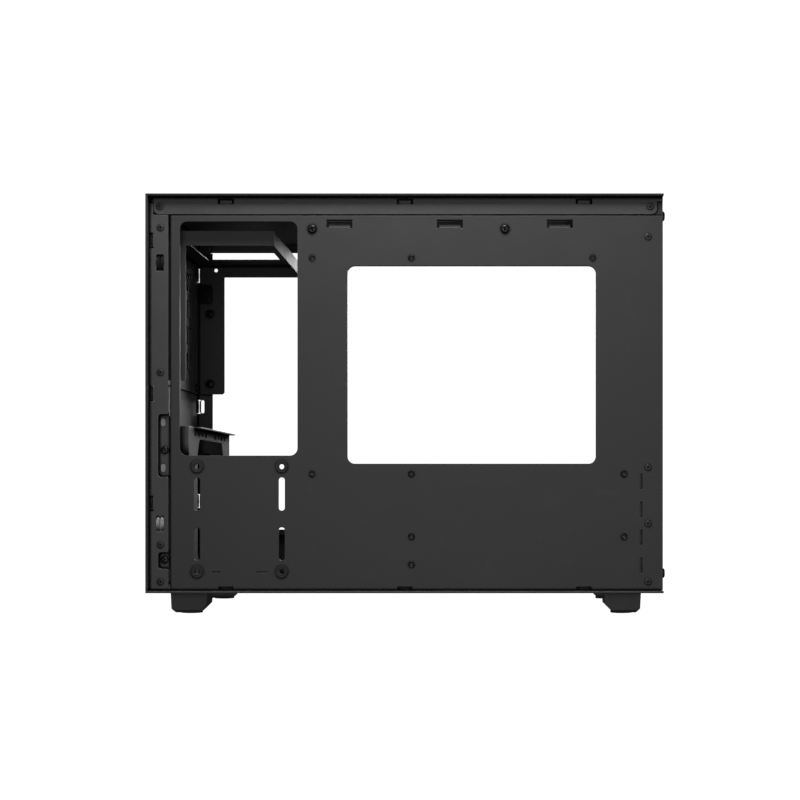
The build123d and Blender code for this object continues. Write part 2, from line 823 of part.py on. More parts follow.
def make_rear_panel():
    low = pan_z
    high = rim_z - sheet
    wall = block(-skin_x, skin_x, wall_y, wall_rear_y, low, high)
    right = block(skin_x - sheet, skin_x, wall_y, rear_y, low, high)
    left = block(-side_x, -skin_x, wall_y, rear_y, low, column_top)
    left_tab = block(-skin_x, -skin_x + sheet, wall_y, rear_y, column_top - 8, high)
    right_lip = block(skin_x - lip_width, skin_x, rear_y - sheet, rear_y, low, high)
    left_lip = block(-side_x, -skin_x + lip_width, rear_y - sheet, rear_y, low, column_top)
    left_lip_top = block(-skin_x, -skin_x + lip_width, rear_y - sheet, rear_y, column_top - 1, high)
    ears = []
    for z in (panel_screw_high, panel_screw_low):
        half = ear_height / 2
        z1 = min(z + half, high)
        ears.append(block(skin_x - ear_width, skin_x, rear_y - sheet, rear_y, z - half, z1))
    ears = ears + mirrored(ears)
    foot = block(-skin_x + sheet, skin_x - sheet, wall_y, rear_y - sheet - gap, low, low + sheet)
    brow = block(-recess_half_x, recess_half_x, wall_y, rear_y - sheet - gap, high, rim_z)
    ledge_x = cover_bend_x + cover_thick
    top = slot_first_z + slot_pitch / 2
    bottom = slot_first_z - (slot_count - 0.5) * slot_pitch
    ledge = block(ledge_x, ledge_x + sheet, wall_y, wall_rear_y + ledge_depth, bottom, top)
    panel = wall + [right, left, left_tab, right_lip, left_lip, left_lip_top, foot, brow, ledge] + ears
    cuts = [block(aperture_left, aperture_right, wall_y - 1, wall_rear_y + 1,
                  aperture_bottom, aperture_bottom + aperture_height)]
    cuts.append(block(cover_bend_x - 0.5, ledge_x, wall_y - 1, wall_rear_y + 1, bottom, top))
    for z in slot_zs():
        half = slot_open_width / 2
        cuts.append(block(slot_open_left, slot_open_right, wall_y - 1, wall_rear_y + 1, z - half, z + half))
        cuts.append(bar_x(ledge_x - 1, ledge_x + sheet + 1, cover_hole_y, z, screw_r + hole_room))
    cuts = cuts + vent_cuts(wall_y - 1, wall_rear_y + 1)
    cuts = cuts + fan_holes(rear_fan_x, rear_fan_z, wall_y - 1, wall_rear_y + 1)
    hole_x = inlet_body_x / 2 + 0.1
    hole_z = inlet_body_z / 2 + 0.1
    cuts.append(block(inlet_x - hole_x, inlet_x + hole_x, wall_y - 1, wall_rear_y + 1,
                      inlet_z - hole_z, inlet_z + hole_z))
    for side in (-1, 1):
        x = inlet_x + side * inlet_screw_pitch / 2
        cuts.append(bar_y(x, wall_y - 1, wall_rear_y + 1, inlet_z, screw_r + hole_room))
        for z in (panel_screw_high, panel_screw_low):
            x = side * (skin_x - ear_width / 2)
            cuts.append(bar_y(x, rear_y - 2, rear_y + 1, z, screw_r + hole_room))
    panel = panel - cuts
    panel = panel - rivet_holes(tray_rivets + strip_rivets[1:], 1)
    return panel - rivet_holes(strip_rivets[1:], -1)


def top_fan_ys():
    first = supply_rear + top_fan_setback
    return [first, first + fan_size + 4]


# A tongue stands in each hook slot, a little behind the strip's face.
def hook_tongues():
    tongues = []
    for step in (-1, 0, 1):
        y = hook_centre + step * hook_pitch
        tongues.append(block(skin_x, side_x - hook_tongue_sink, y - hook_tongue_half, y + hook_tongue_half,
                             hook_slot_bottom - 1, hook_slot_bottom + hook_tongue_height))
    return tongues + mirrored(tongues)


def make_top_frame():
    floor_top = rim_z - recess_depth_z
    floor_low = floor_top - sheet
    rim_front = block(-skin_x + gap, skin_x - gap, front_inner_y, recess_front, rim_z, deck_z)
    rim = block(-side_x, side_x, strip_front, rear_y, rim_z, deck_z)
    hollow = block(-recess_half_x, recess_half_x, recess_front, recess_rear, floor_top, deck_z + 1)
    basin = block(-recess_half_x - sheet, recess_half_x + sheet, recess_front - sheet,
                  recess_rear + sheet, floor_low, deck_z)
    strip = block(skin_x, side_x, strip_front, strip_rear, strip_bottom, deck_z)
    low_edges = strip.edges().filter_by(Axis.X).sort_by(Axis.Z)[:2]
    strip = fillet(low_edges, strip_corner)
    tail = block(skin_x, side_x, strip_rear - 1, rear_y, top_z - 4.7, deck_z)
    tabs = []
    for y in tray_screw_ys:
        tabs.append(block(skin_x - sheet, skin_x, y - tab_half, y + tab_half, tab_bottom, rim_z))
    front_skirt = block(-skin_x + 2, skin_x - 2, front_inner_y, front_inner_y + sheet,
                        front_skirt_bottom, rim_z)
    rear_skirt = block(-recess_half_x + 1, recess_half_x - 1, rear_y - sheet, rear_y, strip_bottom, rim_z)
    sides = [strip, tail] + mirrored([strip, tail])
    frame = rim + rim_front + basin + sides + tabs + [front_skirt, rear_skirt]
    cuts = [hollow]
    for step in (-1, 0, 1):
        y = hook_centre + step * hook_pitch
        half = hook_length / 2
        cuts.append(block(skin_x - gap, side_x + 1, y - half, y + half, hook_slot_bottom, rim_z))
        cuts.append(block(-side_x - 1, -skin_x + gap, y - half, y + half, hook_slot_bottom, rim_z))
    for y in tray_screw_ys:
        cuts.append(bar_x(skin_x - 2, skin_x + 1, y, tray_screw_z, screw_r + hole_room))
    flat = vent_r * 0.64
    for y in top_fan_ys():
        cuts.append(slab_z(octagon(0, y, vent_r, vent_r, flat, flat), floor_low - 1, floor_top + 1))
        for sx in (-1, 1):
            for sy in (-1, 1):
                x = sx * fan_pitch / 2
                cuts.append(bar_z(x, y + sy * fan_pitch / 2, floor_low - 1, floor_top + 1, fan_hole_r))
                slot_x = sx * long_slot_x
                slot_y = y + sy * long_slot_y
                cuts.append(block(slot_x - fan_hole_r, slot_x + fan_hole_r, slot_y - long_slot / 2,
                                  slot_y + long_slot / 2, floor_low - 1, floor_top + 1))
    frame = frame - cuts + hook_tongues()
    frame = frame - rivet_holes(strip_rivets, 1)
    return frame - rivet_holes(strip_rivets, -1)


# Supply bracket

def supply_screw_holes():
    holes = []
    for z in supply_screw_zs:
        holes.append(bar_x(-side_x - 1, -skin_x + sheet + 1, supply_screw_y, z, screw_r + hole_room))
    for x, z in supply_front_screws():
        holes.append(bar_y(x, front_sheet_y - 1, front_inner_y + sheet + 1, z, screw_r + hole_room))
    return holes


def supply_front_screws():
    places = []
    for x in (-skin_x + supply_screw_inset, supply_right - supply_screw_inset):
        for z in (supply_leg_bottom + 5, supply_bar_bottom + 3):
            places.append((x, z))
    return places


def make_supply_bracket():
    left = -skin_x
    right = supply_right
    front = block(left, right, supply_front, supply_front + sheet, supply_leg_bottom, supply_top)
    top = block(left, right, supply_front, supply_rear, supply_top - sheet, supply_top)
    rear = block(left, right, supply_rear - sheet, supply_rear, supply_bar_bottom, supply_top)
    leg_y = supply_front + supply_leg_depth
    outline = [
        (supply_front, supply_leg_bottom), (leg_y - 1.5, supply_leg_bottom),
        (leg_y, supply_leg_bottom + 1.5), (leg_y, supply_bar_bottom),
        (supply_rear, supply_bar_bottom), (supply_rear, supply_top), (supply_front, supply_top),
    ]
    left_side = slab_x(outline, left, left + sheet)
    right_side = slab_x(outline, right - sheet, right)
    bracket = front + [top, rear, left_side, right_side]
    cx = supply_centre_x
    cy = supply_centre_y
    wide = supply_window_x / 2
    deep = supply_window_y / 2
    cuts = [block(cx - wide, cx + wide, cy - deep, cy + deep, supply_top - 2, supply_top + 1)]
    for dx, dy in supply_holes:
        cuts.append(bar_z(cx + dx, cy + dy, supply_top - 2, supply_top + 1, screw_r + 0.4))
    grille = slot_field(cx, supply_leg_bottom + supply_slot_start, supply_columns, supply_rows,
                        supply_pitch_x, supply_pitch_z)
    half = supply_slot_x / 2
    for x, z in grille:
        cuts.append(block(x - half, x + half, supply_front - 1, supply_front + 2, z, z + supply_slot_z))
    cuts.append(bar_x(left - 1, left + 2, supply_side_hole_y, supply_bar_bottom + 6, screw_r))
    bracket = bracket - cuts
    bracket = bracket - clip_notches(supply_front - 2, front_sheet_y + clip_notch_y, 0.4)
    bracket = bracket - catch_windows(left - 1, left + 2, catch_room)
    return bracket - supply_screw_holes()


# Lower front bracket

def bay_screw_holes():
    holes = []
    for x in bay_screw_xs:
        holes.append(bar_z(x, bay_screw_y, base_z - 1, pan_z + sheet + 1, screw_r + hole_room))
    for z in bay_side_screw_zs:
        holes.append(bar_x(-side_x - 1, -skin_x + sheet + 1, bay_side_screw_y, z, screw_r + hole_room))
    return holes


def make_bay_bracket():
    left = -skin_x
    low = pan_z
    wall = block(left, bay_right, bay_y, bay_y + sheet, low, bay_top)
    lip = block(left, bay_lip_right, bay_y, bay_y + bay_lip, bay_top - sheet, bay_top)
    left_side = block(left, left + sheet, front_inner_y + gap, bay_y + sheet, low, bay_top)
    right_side = block(bay_right - sheet, bay_right, bay_y - bay_flange, bay_y + sheet, low, bay_top)
    foot = block(left, bay_right, bay_y, bay_y + bay_foot, low, low + sheet)
    bracket = wall + [lip, left_side, right_side, foot]
    outline = octagon(bay_centre_x, bay_centre_z, bay_half_low, bay_half_z, bay_half_high,
                      bay_half_z - bay_corner)
    cuts = [slab_y(outline, bay_y - 1, bay_y + sheet + 0.5)]
    half_z = bay_slot_z / 2
    for span in bay_slot_spans:
        for side in (-1, 1):
            x = bay_centre_x + 2 + side * span / 2
            for z in (bay_centre_z + fan_pitch / 2, bay_centre_z - fan_pitch / 2):
                slot = block(x - bay_slot_x / 2, x + bay_slot_x / 2, bay_y - 1, bay_y + sheet + 0.5,
                             z - half_z, z + half_z)
                cuts.append(fillet(slot.edges().filter_by(Axis.Y), half_z * 0.99))
    bracket = bracket - cuts
    bracket = bracket - clip_notches(front_inner_y - 1, front_sheet_y + clip_notch_y, 0.4)
    bracket = bracket - catch_windows(left - 1, left + 2, catch_room)
    bracket = bracket - rivet_holes(column_rivets[3:], -1)
    return bracket - bay_screw_holes()


# Small pieces

def make_standoffs():
    posts = []
    for y, z in board_holes:
        barrel = bar_x(skin_x - standoff_length, skin_x, y, z, standoff_r)
        shank = bar_x(skin_x, side_x, y, z, standoff_shank_r)
        lip = bar_x(side_x, side_x + standoff_lip, y, z, standoff_lip_r)
        bore = bar_x(skin_x - standoff_length - 1, side_x - standoff_wall, y, z, board_thread_r)
        dimple = bar_x(side_x - standoff_dimple, side_x + 1, y, z, board_thread_r)
        posts.append(barrel + shank + lip - [bore, dimple])
    return posts


def make_grommets():
    rings = []
    for y, z in drive_holes():
        neck = bar_x(skin_x, side_x, y, z, grommet_neck_r)
        outer = bar_x(side_x, side_x + grommet_lip, y, z, grommet_r)
        inner = bar_x(skin_x - grommet_lip, skin_x, y, z, grommet_r)
        bore = bar_x(skin_x - 2, side_x + 2, y, z, grommet_bore_r)
        rings.append(neck + outer + inner - bore)
    return rings


def make_slot_cover(z):
    half = cover_width / 2
    tongue_half = tongue_width / 2
    y0 = wall_y - cover_thick
    plate = block(cover_bend_x, tongue_end, y0, wall_y, z - half, z + half)
    tongue = block(tongue_end - 1, side_x - 0.2, y0, wall_y, z - tongue_half, z + tongue_half)
    tab = block(cover_bend_x, cover_bend_x + cover_thick, y0, wall_rear_y + cover_tab, z - half, z + half)
    notch = block(cover_bend_x - 1, cover_bend_x + cover_thick + 1, cover_hole_y - 2, cover_hole_y + 2,
                  z - 2, z + half + 1)
    return plate + tongue + tab - notch


def make_catch(z):
    half_y = catch_slot_y / 2 - gap
    half_z = catch_slot_z / 2 - 0.2
    outer = side_x + 0.2
    body = block(side_x - catch_depth, outer, catch_y - half_y, catch_y + half_y, z - half_z, z + half_z)
    tips = body.edges().filter_by(Axis.Y).sort_by(Axis.X)[-2:]
    body = chamfer(tips, 1.0)
    base = block(catch_base_x, catch_base_x + 0.8, catch_y - catch_base_y / 2, catch_y + catch_base_y / 2,
                 z - catch_base_z / 2, z + catch_base_z / 2)
    slit_x = side_x - catch_depth + sheet
    slit = block(slit_x, outer + 1, catch_y - catch_slit / 2, catch_y + catch_slit / 2,
                 z - catch_slot_z / 2, z + catch_slot_z / 2)
    return body - slit + base


def make_rivets():
    right = tray_rivets + column_rivets + strip_rivets
    left = strip_rivets + column_rivets[3:]
    rivets = [rivet(side_x, y, z, through) for y, z, through in right]
    return rivets + [rivet(-side_x, y, z, through) for y, z, through in left]


def foot_places():
    side = plate_width / 2 - foot_inset - foot_x
    front = front_y + foot_front_gap
    rear = rear_y - foot_rear_gap - foot_y
    return {
        "foot_front_right": (side, front, False),
        "foot_front_left": (-side - foot_x, front, False),
        "foot_rear_right": (side, rear, True),
        "foot_rear_left": (-side - foot_x, rear, True),
    }


def foot_centre(x, y):
    return x + foot_x / 2, y + foot_y / 2


def foot_screw_holes():
    holes = []
    for x, y, _ in foot_places().values():
        cx, cy = foot_centre(x, y)
        holes.append(bar_z(cx, cy, base_z - 1, pan_z + 1, screw_r + hole_room))
    return holes


# The bottom edge that looks to the middle of the case is cut back the most.
def make_foot(x, y, at_rear):
    first = foot_big_chamfer if at_rear else foot_small_chamfer
    last = foot_small_chamfer if at_rear else foot_big_chamfer
    low = pad_seat
    y1 = y + foot_y
    outline = [
        (y, base_z), (y + foot_taper, low + first), (y + foot_taper + first, low),
        (y1 - foot_taper - last, low), (y1 - foot_taper, low + last), (y1, base_z),
    ]
    foot = slab_x(outline, x, x + foot_x)
    edges = foot.edges().filter_by(Axis.Y).group_by(Axis.Z)[0]
    foot = chamfer(edges, foot_side_chamfer)
    cx, cy = foot_centre(x, y)
    pad_hole = bar_z(cx, cy, low - 1, pad_height, pad_r + hole_room)
    well = bar_z(cx, cy, low, foot_screw_z, small_head_r + gap)
    hole = bar_z(cx, cy, low, base_z + 1, screw_r + hole_room)
    return foot - [pad_hole, well, hole]


def make_foot_pads():
    pads = []
    for x, y, _ in foot_places().values():
        cx, cy = foot_centre(x, y)
        pads.append(bar_z(cx, cy, 0, pad_height, pad_r))
    return pads


def make_foot_screws():
    screws = []
    for x, y, _ in foot_places().values():
        cx, cy = foot_centre(x, y)
        reach = pan_z - foot_screw_z
        screws.append(screw(cx, cy, foot_screw_z, "-Z", small_head_r, head_proud, screw_r, reach))
    return screws


# Front port housing

def make_housing():
    x0 = housing_left
    x1 = housing_left + housing_width
    z1 = housing_low + housing_height
    shell = block(x0, x1, front_inner_y, housing_rear, housing_low, z1)
    wall = housing_wall
    cavity = block(x0 + wall, x1 - wall, front_inner_y + wall, housing_rear + 1,
                   housing_low + wall, z1 - wall)
    parts = [shell - cavity]
    for z in boss_zs:
        parts.append(bar_y(housing_x, front_inner_y + wall, board_y, z, boss_r))
    plate_x1 = pocket_x - sheet
    plate_x0 = plate_x1 - ear_thick
    for z0, height, up in pockets:
        y0 = column_rear - pocket_depth - 0.5
        parts.append(block(plate_x0, plate_x1, y0, column_rear - 0.2, z0 + 0.5, z0 + height - 0.5))
        rib_y1 = housing_rear - 0.4
        for z in (z0 + 0.5, z0 + height - 0.5 - ear_thick):
            z = min(z, z1 - ear_thick)
            parts.append(block(x1 - 0.2, plate_x0 + 0.2, y0, rib_y1, z, z + ear_thick))
        parts.append(bar_x(x1 - 0.2, plate_x0 + 0.2, pocket_screw_y, z0 + up, 2.6))
    for z in peg_zs:
        parts.append(bar_x(plate_x0 - 0.5, plate_x1, peg_y, z, peg_width / 2))
    housing = parts[0] + parts[1:]
    bores = []
    for z in boss_zs:
        bores.append(bar_y(housing_x, front_inner_y + wall, board_y + 1, z, board_screw_r + hole_room))
    for z0, _, up in pockets:
        bores.append(bar_x(x1 - 0.1, plate_x1 + 1, pocket_screw_y, z0 + up, screw_r + hole_room))
    cuts = port_openings(front_inner_y - 1, front_inner_y + wall, gap)
    return housing - bores - cuts


def make_io_board():
    wall = housing_wall + 0.2
    y1 = board_y + board_thick
    z0 = housing_low + wall
    z1 = housing_low + housing_height - wall
    board = block(housing_left + wall, housing_left + housing_width - wall, board_y, y1, z0, z1)
    return board - [bar_y(housing_x, board_y - 1, y1 + 1, z, board_screw_r + 0.2) for z in boss_zs]


def make_board_screws():
    y = board_y + board_thick
    return [screw(housing_x, y, z, "+Y", 2.0, 1.0, board_screw_r, 6.0, False) for z in boss_zs]


def make_housing_screws():
    screws = []
    for z0, _, up in pockets:
        screws.append(screw(pocket_x, pocket_screw_y, z0 + up, "+X", pocket_head_r, pocket_head,
                            screw_r, 5.0))
    return screws


def make_usb_port(z):
    y0 = port_face
    y1 = board_y
    shell = block(housing_x - usb_x / 2, housing_x + usb_x / 2, y0, y1, z - usb_z / 2, z + usb_z / 2)
    inner_x = usb_x / 2 - usb_wall
    inner_z = usb_z / 2 - usb_wall
    shell = shell - block(housing_x - inner_x, housing_x + inner_x, y0 - 1, y1 - 1.5,
                          z - inner_z, z + inner_z)
    tongue = block(housing_x + 0.4, housing_x + 2.2, y0 + 1.2, y1 - 1, z - inner_z + 0.9, z + inner_z - 0.9)
    return shell + tongue


def make_usb_c_port():
    y0 = port_face
    y1 = board_y
    half_x = usb_c_x / 2
    half_z = usb_c_zsize / 2
    shell = block(housing_x - half_x, housing_x + half_x, y0, y1, usb_c_z - half_z, usb_c_z + half_z)
    shell = fillet(shell.edges().filter_by(Axis.Y), half_x * 0.8)
    hollow = block(housing_x - half_x + usb_wall, housing_x + half_x - usb_wall, y0 - 1, y1 - 2,
                   usb_c_z - half_z + usb_wall, usb_c_z + half_z - usb_wall)
    hollow = fillet(hollow.edges().filter_by(Axis.Y), half_x * 0.6)
    tongue = block(housing_x - 0.35, housing_x + 0.35, y0 + 0.8, y1 - 1.5, usb_c_z - 3.2, usb_c_z + 3.2)
    return shell - hollow + tongue


def make_audio_jack():
    y0 = port_face
    y1 = board_y
    barrel = bar_y(housing_x, y0, y1, audio_z, audio_r)
    bore = bar_y(housing_x, y0 - 1, y1 - 1.5, audio_z, 1.75)
    return barrel - bore


def make_power_light():
    return bar_y(housing_x, port_face, board_y, light_z, light_r)


# The switch holds a plunger in a bore that is deep enough for its travel.
def make_switch(z):
    half = switch_size / 2
    can = block(housing_x - half, housing_x + half, switch_front, board_y, z - half, z + half)
    return can - bar_y(housing_x, switch_front - 1, board_y - switch_floor, z, plunger_r + gap)


def make_plunger(z):
    return bar_y(housing_x, stem_end, board_y - switch_floor - button_travel - gap, z, plunger_r)


def make_button(z, radius):
    stop_y = front_inner_y + housing_wall + gap
    cap = bar_y(housing_x, front_y, stop_y, z, radius)
    flange = bar_y(housing_x, stop_y, stop_y + button_flange_thick, z, radius + button_flange)
    stem = bar_y(housing_x, stop_y, stem_end, z, plunger_r)
    return cap + flange + stem


# Screws of the sheets

def make_tray_screws():
    screws = []
    for y in tray_screw_ys:
        screws.append(screw(side_x, y, tray_screw_z, "+X", small_head_r, small_head, screw_r, 4.0))
    return screws


def make_panel_screws():
    screws = []
    for side in (-1, 1):
        for z in (panel_screw_high, panel_screw_low):
            x = side * (skin_x - ear_width / 2)
            screws.append(screw(x, rear_y, z, "+Y", big_head_r, head_proud, screw_r, 8.0))
    return screws


def make_supply_screws():
    screws = []
    for z in supply_screw_zs:
        x = -skin_x + sheet
        screws.append(screw(x, supply_screw_y, z, "+X", small_head_r, small_head, screw_r, 2 * sheet))
    for x, z in supply_front_screws():
        y = front_inner_y + sheet
        screws.append(screw(x, y, z, "+Y", small_head_r, small_head, screw_r, 2 * sheet))
    return screws


def make_bay_screws():
    screws = []
    for x in bay_screw_xs:
        screws.append(screw(x, bay_screw_y, pan_z + sheet, "+Z", small_head_r, small_head,
                            screw_r, 2 * sheet))
    for z in bay_side_screw_zs:
        x = -skin_x + sheet
        screws.append(screw(x, bay_side_screw_y, z, "+X", small_head_r, small_head, screw_r, 2 * sheet))
    return screws


def make_cover_screws():
    screws = []
    for z in slot_zs():
        screws.append(screw(cover_bend_x, cover_hole_y, z, "-X", big_head_r, head_proud, screw_r, 6.0))
    return screws


# Power inlet

def make_inlet():
    x0 = inlet_x - inlet_body_x / 2
    x1 = inlet_x + inlet_body_x / 2
    z0 = inlet_z - inlet_body_z / 2
    z1 = inlet_z + inlet_body_z / 2
    face_y = wall_rear_y + inlet_flange
    body = block(x0, x1, face_y - inlet_depth, face_y, z0, z1)
    flange = block(inlet_x - inlet_flange_x / 2, inlet_x + inlet_flange_x / 2, wall_rear_y, face_y,
                   inlet_z - inlet_flange_z / 2, inlet_z + inlet_flange_z / 2)
    flange = chamfer(flange.edges().filter_by(Axis.Y), 5.0)
    mouth = block(x0 + inlet_wall, x1 - inlet_wall, face_y - 16, face_y + 1, z0 + inlet_wall, z1 - inlet_wall)
    mouth = chamfer(mouth.edges().filter_by(Axis.Y).group_by(Axis.Z)[-1], 5.0)
    inlet = body + flange - mouth
    cuts = []
    for side in (-1, 1):
        x = inlet_x + side * inlet_screw_pitch / 2
        cuts.append(bar_y(x, wall_rear_y - 1, face_y + 1, inlet_z, screw_r + hole_room))
    return inlet - cuts - make_inlet_pins()


def make_inlet_pins():
    face_y = wall_rear_y + inlet_flange
    pins = []
    for dx, dz in ((-pin_pitch / 2, -2.0), (0.0, 2.0), (pin_pitch / 2, -2.0)):
        x = inlet_x + dx
        z = inlet_z + dz
        pins.append(block(x - 1, x + 1, face_y - inlet_depth - 5, face_y - 3, z - 2, z + 2))
    return pins


def make_inlet_screws():
    face_y = wall_rear_y + inlet_flange
    screws = []
    for side in (-1, 1):
        x = inlet_x + side * inlet_screw_pitch / 2
        screws.append(screw(x, face_y, inlet_z, "+Y", inlet_head_r, inlet_head, screw_r, inlet_screw_length))
    return screws


save(make_bottom_plate(), "bottom_plate")
save(make_top_cover(), "top_cover")
save(make_front_panel(), "front_panel")
save_group(make_front_panel_clips(), "front_panel_clips")
save(make_front_frame(), "front_frame")
save(make_bottom_frame(), "bottom_frame")
save(make_tray(), "motherboard_tray")
save(make_rear_panel(), "rear_panel")
save(make_top_frame(), "top_frame")
save(make_supply_bracket(), "supply_bracket")
save(make_bay_bracket(), "lower_front_bracket")
save_group(make_standoffs(), "board_standoffs")
save_group(make_grommets(), "drive_grommets")
for number, level in enumerate(slot_zs(), start=1):
    save(make_slot_cover(level), "slot_cover_" + str(number))
save_group(make_cover_screws(), "slot_cover_screws")
for name, level in zip(("upper", "lower"), catch_zs):
    catch = make_catch(level)
    save(catch, "catch_right_" + name)
    save(mirror(catch, Plane.YZ), "catch_left_" + name)
save_group(make_rivets(), "chassis_rivets")
for name, place in foot_places().items():
    save(make_foot(*place), name)
save_group(make_foot_pads(), "foot_pads")
save_group(make_foot_screws(), "foot_screws")
save(make_housing(), "port_housing")
save(make_io_board(), "port_board")
save_group(make_board_screws(), "port_board_screws")
save_group(make_housing_screws(), "port_housing_screws")
save_group(make_pegs(), "housing_pegs")
for name, level in zip(("upper", "lower"), usb_zs):
    save(make_usb_port(level), "usb_port_" + name)
save(make_usb_c_port(), "usb_c_port")
save(make_audio_jack(), "audio_jack")
save(make_power_light(), "power_light")
for name, level, radius in (("power", power_z, power_r), ("reset", reset_z, reset_r)):
    save(make_button(level, radius), name + "_button")
    save(make_plunger(level), name + "_plunger")
    save(make_switch(level), name + "_switch")
save_group(make_tray_screws(), "tray_screws")
save_group(make_panel_screws(), "panel_screws")
save_group(make_supply_screws(), "supply_bracket_screws")
save_group(make_bay_screws(), "lower_bracket_screws")
save(make_inlet(), "power_inlet")
save_group(make_inlet_pins(), "inlet_pins")
save_group(make_inlet_screws(), "inlet_screws")
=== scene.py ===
import json
import math

import bmesh
import bpy
from mathutils import Matrix, Vector

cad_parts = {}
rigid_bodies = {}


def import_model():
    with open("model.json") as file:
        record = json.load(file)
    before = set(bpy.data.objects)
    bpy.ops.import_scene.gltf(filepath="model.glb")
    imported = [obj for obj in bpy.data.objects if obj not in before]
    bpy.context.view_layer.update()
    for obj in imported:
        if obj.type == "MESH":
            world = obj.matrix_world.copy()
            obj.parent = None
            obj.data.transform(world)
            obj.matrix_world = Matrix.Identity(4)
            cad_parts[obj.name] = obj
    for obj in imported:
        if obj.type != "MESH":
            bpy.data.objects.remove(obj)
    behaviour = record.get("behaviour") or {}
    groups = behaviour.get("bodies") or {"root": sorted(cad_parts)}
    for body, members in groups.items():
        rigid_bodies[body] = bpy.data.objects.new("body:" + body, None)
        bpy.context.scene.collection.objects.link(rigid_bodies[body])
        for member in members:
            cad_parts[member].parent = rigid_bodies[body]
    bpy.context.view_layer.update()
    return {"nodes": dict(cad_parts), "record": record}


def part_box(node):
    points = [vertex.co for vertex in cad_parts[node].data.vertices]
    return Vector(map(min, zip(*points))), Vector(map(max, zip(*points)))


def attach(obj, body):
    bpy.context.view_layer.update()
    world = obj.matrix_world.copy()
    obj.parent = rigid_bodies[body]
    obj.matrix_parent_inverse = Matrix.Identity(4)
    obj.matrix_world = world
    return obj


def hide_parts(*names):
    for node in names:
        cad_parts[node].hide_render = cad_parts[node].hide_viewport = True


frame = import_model()
slotOf = {part["node"]: part["material_slot"] for part in frame["record"]["subparts"]}
bodyOf = {node: body for body, nodes in frame["record"]["behaviour"]["bodies"].items() for node in nodes}
mm = 0.001
weld = 2e-6
print("frame loaded")


# Camera: a level look at the right side from low down, with the lens shifted up and to the left
camera = {"place": (1.278, 0.053, 0.0938), "lens": 72.8, "sensor": 36.0, "shift": (-0.09875, 0.1075)}


def placeCamera(facts):
    data = bpy.data.cameras.new("sideCamera")
    data.lens = facts["lens"]
    data.sensor_width = facts["sensor"]
    data.shift_x, data.shift_y = facts["shift"]
    data.clip_start = 0.02
    data.clip_end = 60.0
    body = bpy.data.objects.new("sideCamera", data)
    bpy.context.scene.collection.objects.link(body)
    body.location = facts["place"]
    body.rotation_euler = (math.radians(90), 0, math.radians(90))
    bpy.context.scene.camera = body


placeCamera(camera)
print("camera placed")


# Shader maths as plain expressions
class Wire:
    def __init__(self, finish, socket):
        self.finish = finish
        self.socket = socket

    def sums(self, operation, first, second):
        return self.finish.node("ShaderNodeMath", {"operation": operation}, {0: first, 1: second})

    def __add__(self, other):
        return self.sums("ADD", self, other)

    def __radd__(self, other):
        return self.sums("ADD", other, self)

    def __sub__(self, other):
        return self.sums("SUBTRACT", self, other)

    def __rsub__(self, other):
        return self.sums("SUBTRACT", other, self)

    def __mul__(self, other):
        return self.sums("MULTIPLY", self, other)

    def __rmul__(self, other):
        return self.sums("MULTIPLY", other, self)


# How corners and gaps are looked for: rays per sample, and the open share that counts as shut or open
probes = {"samples": 6, "shut": 0.74, "open": 0.96}


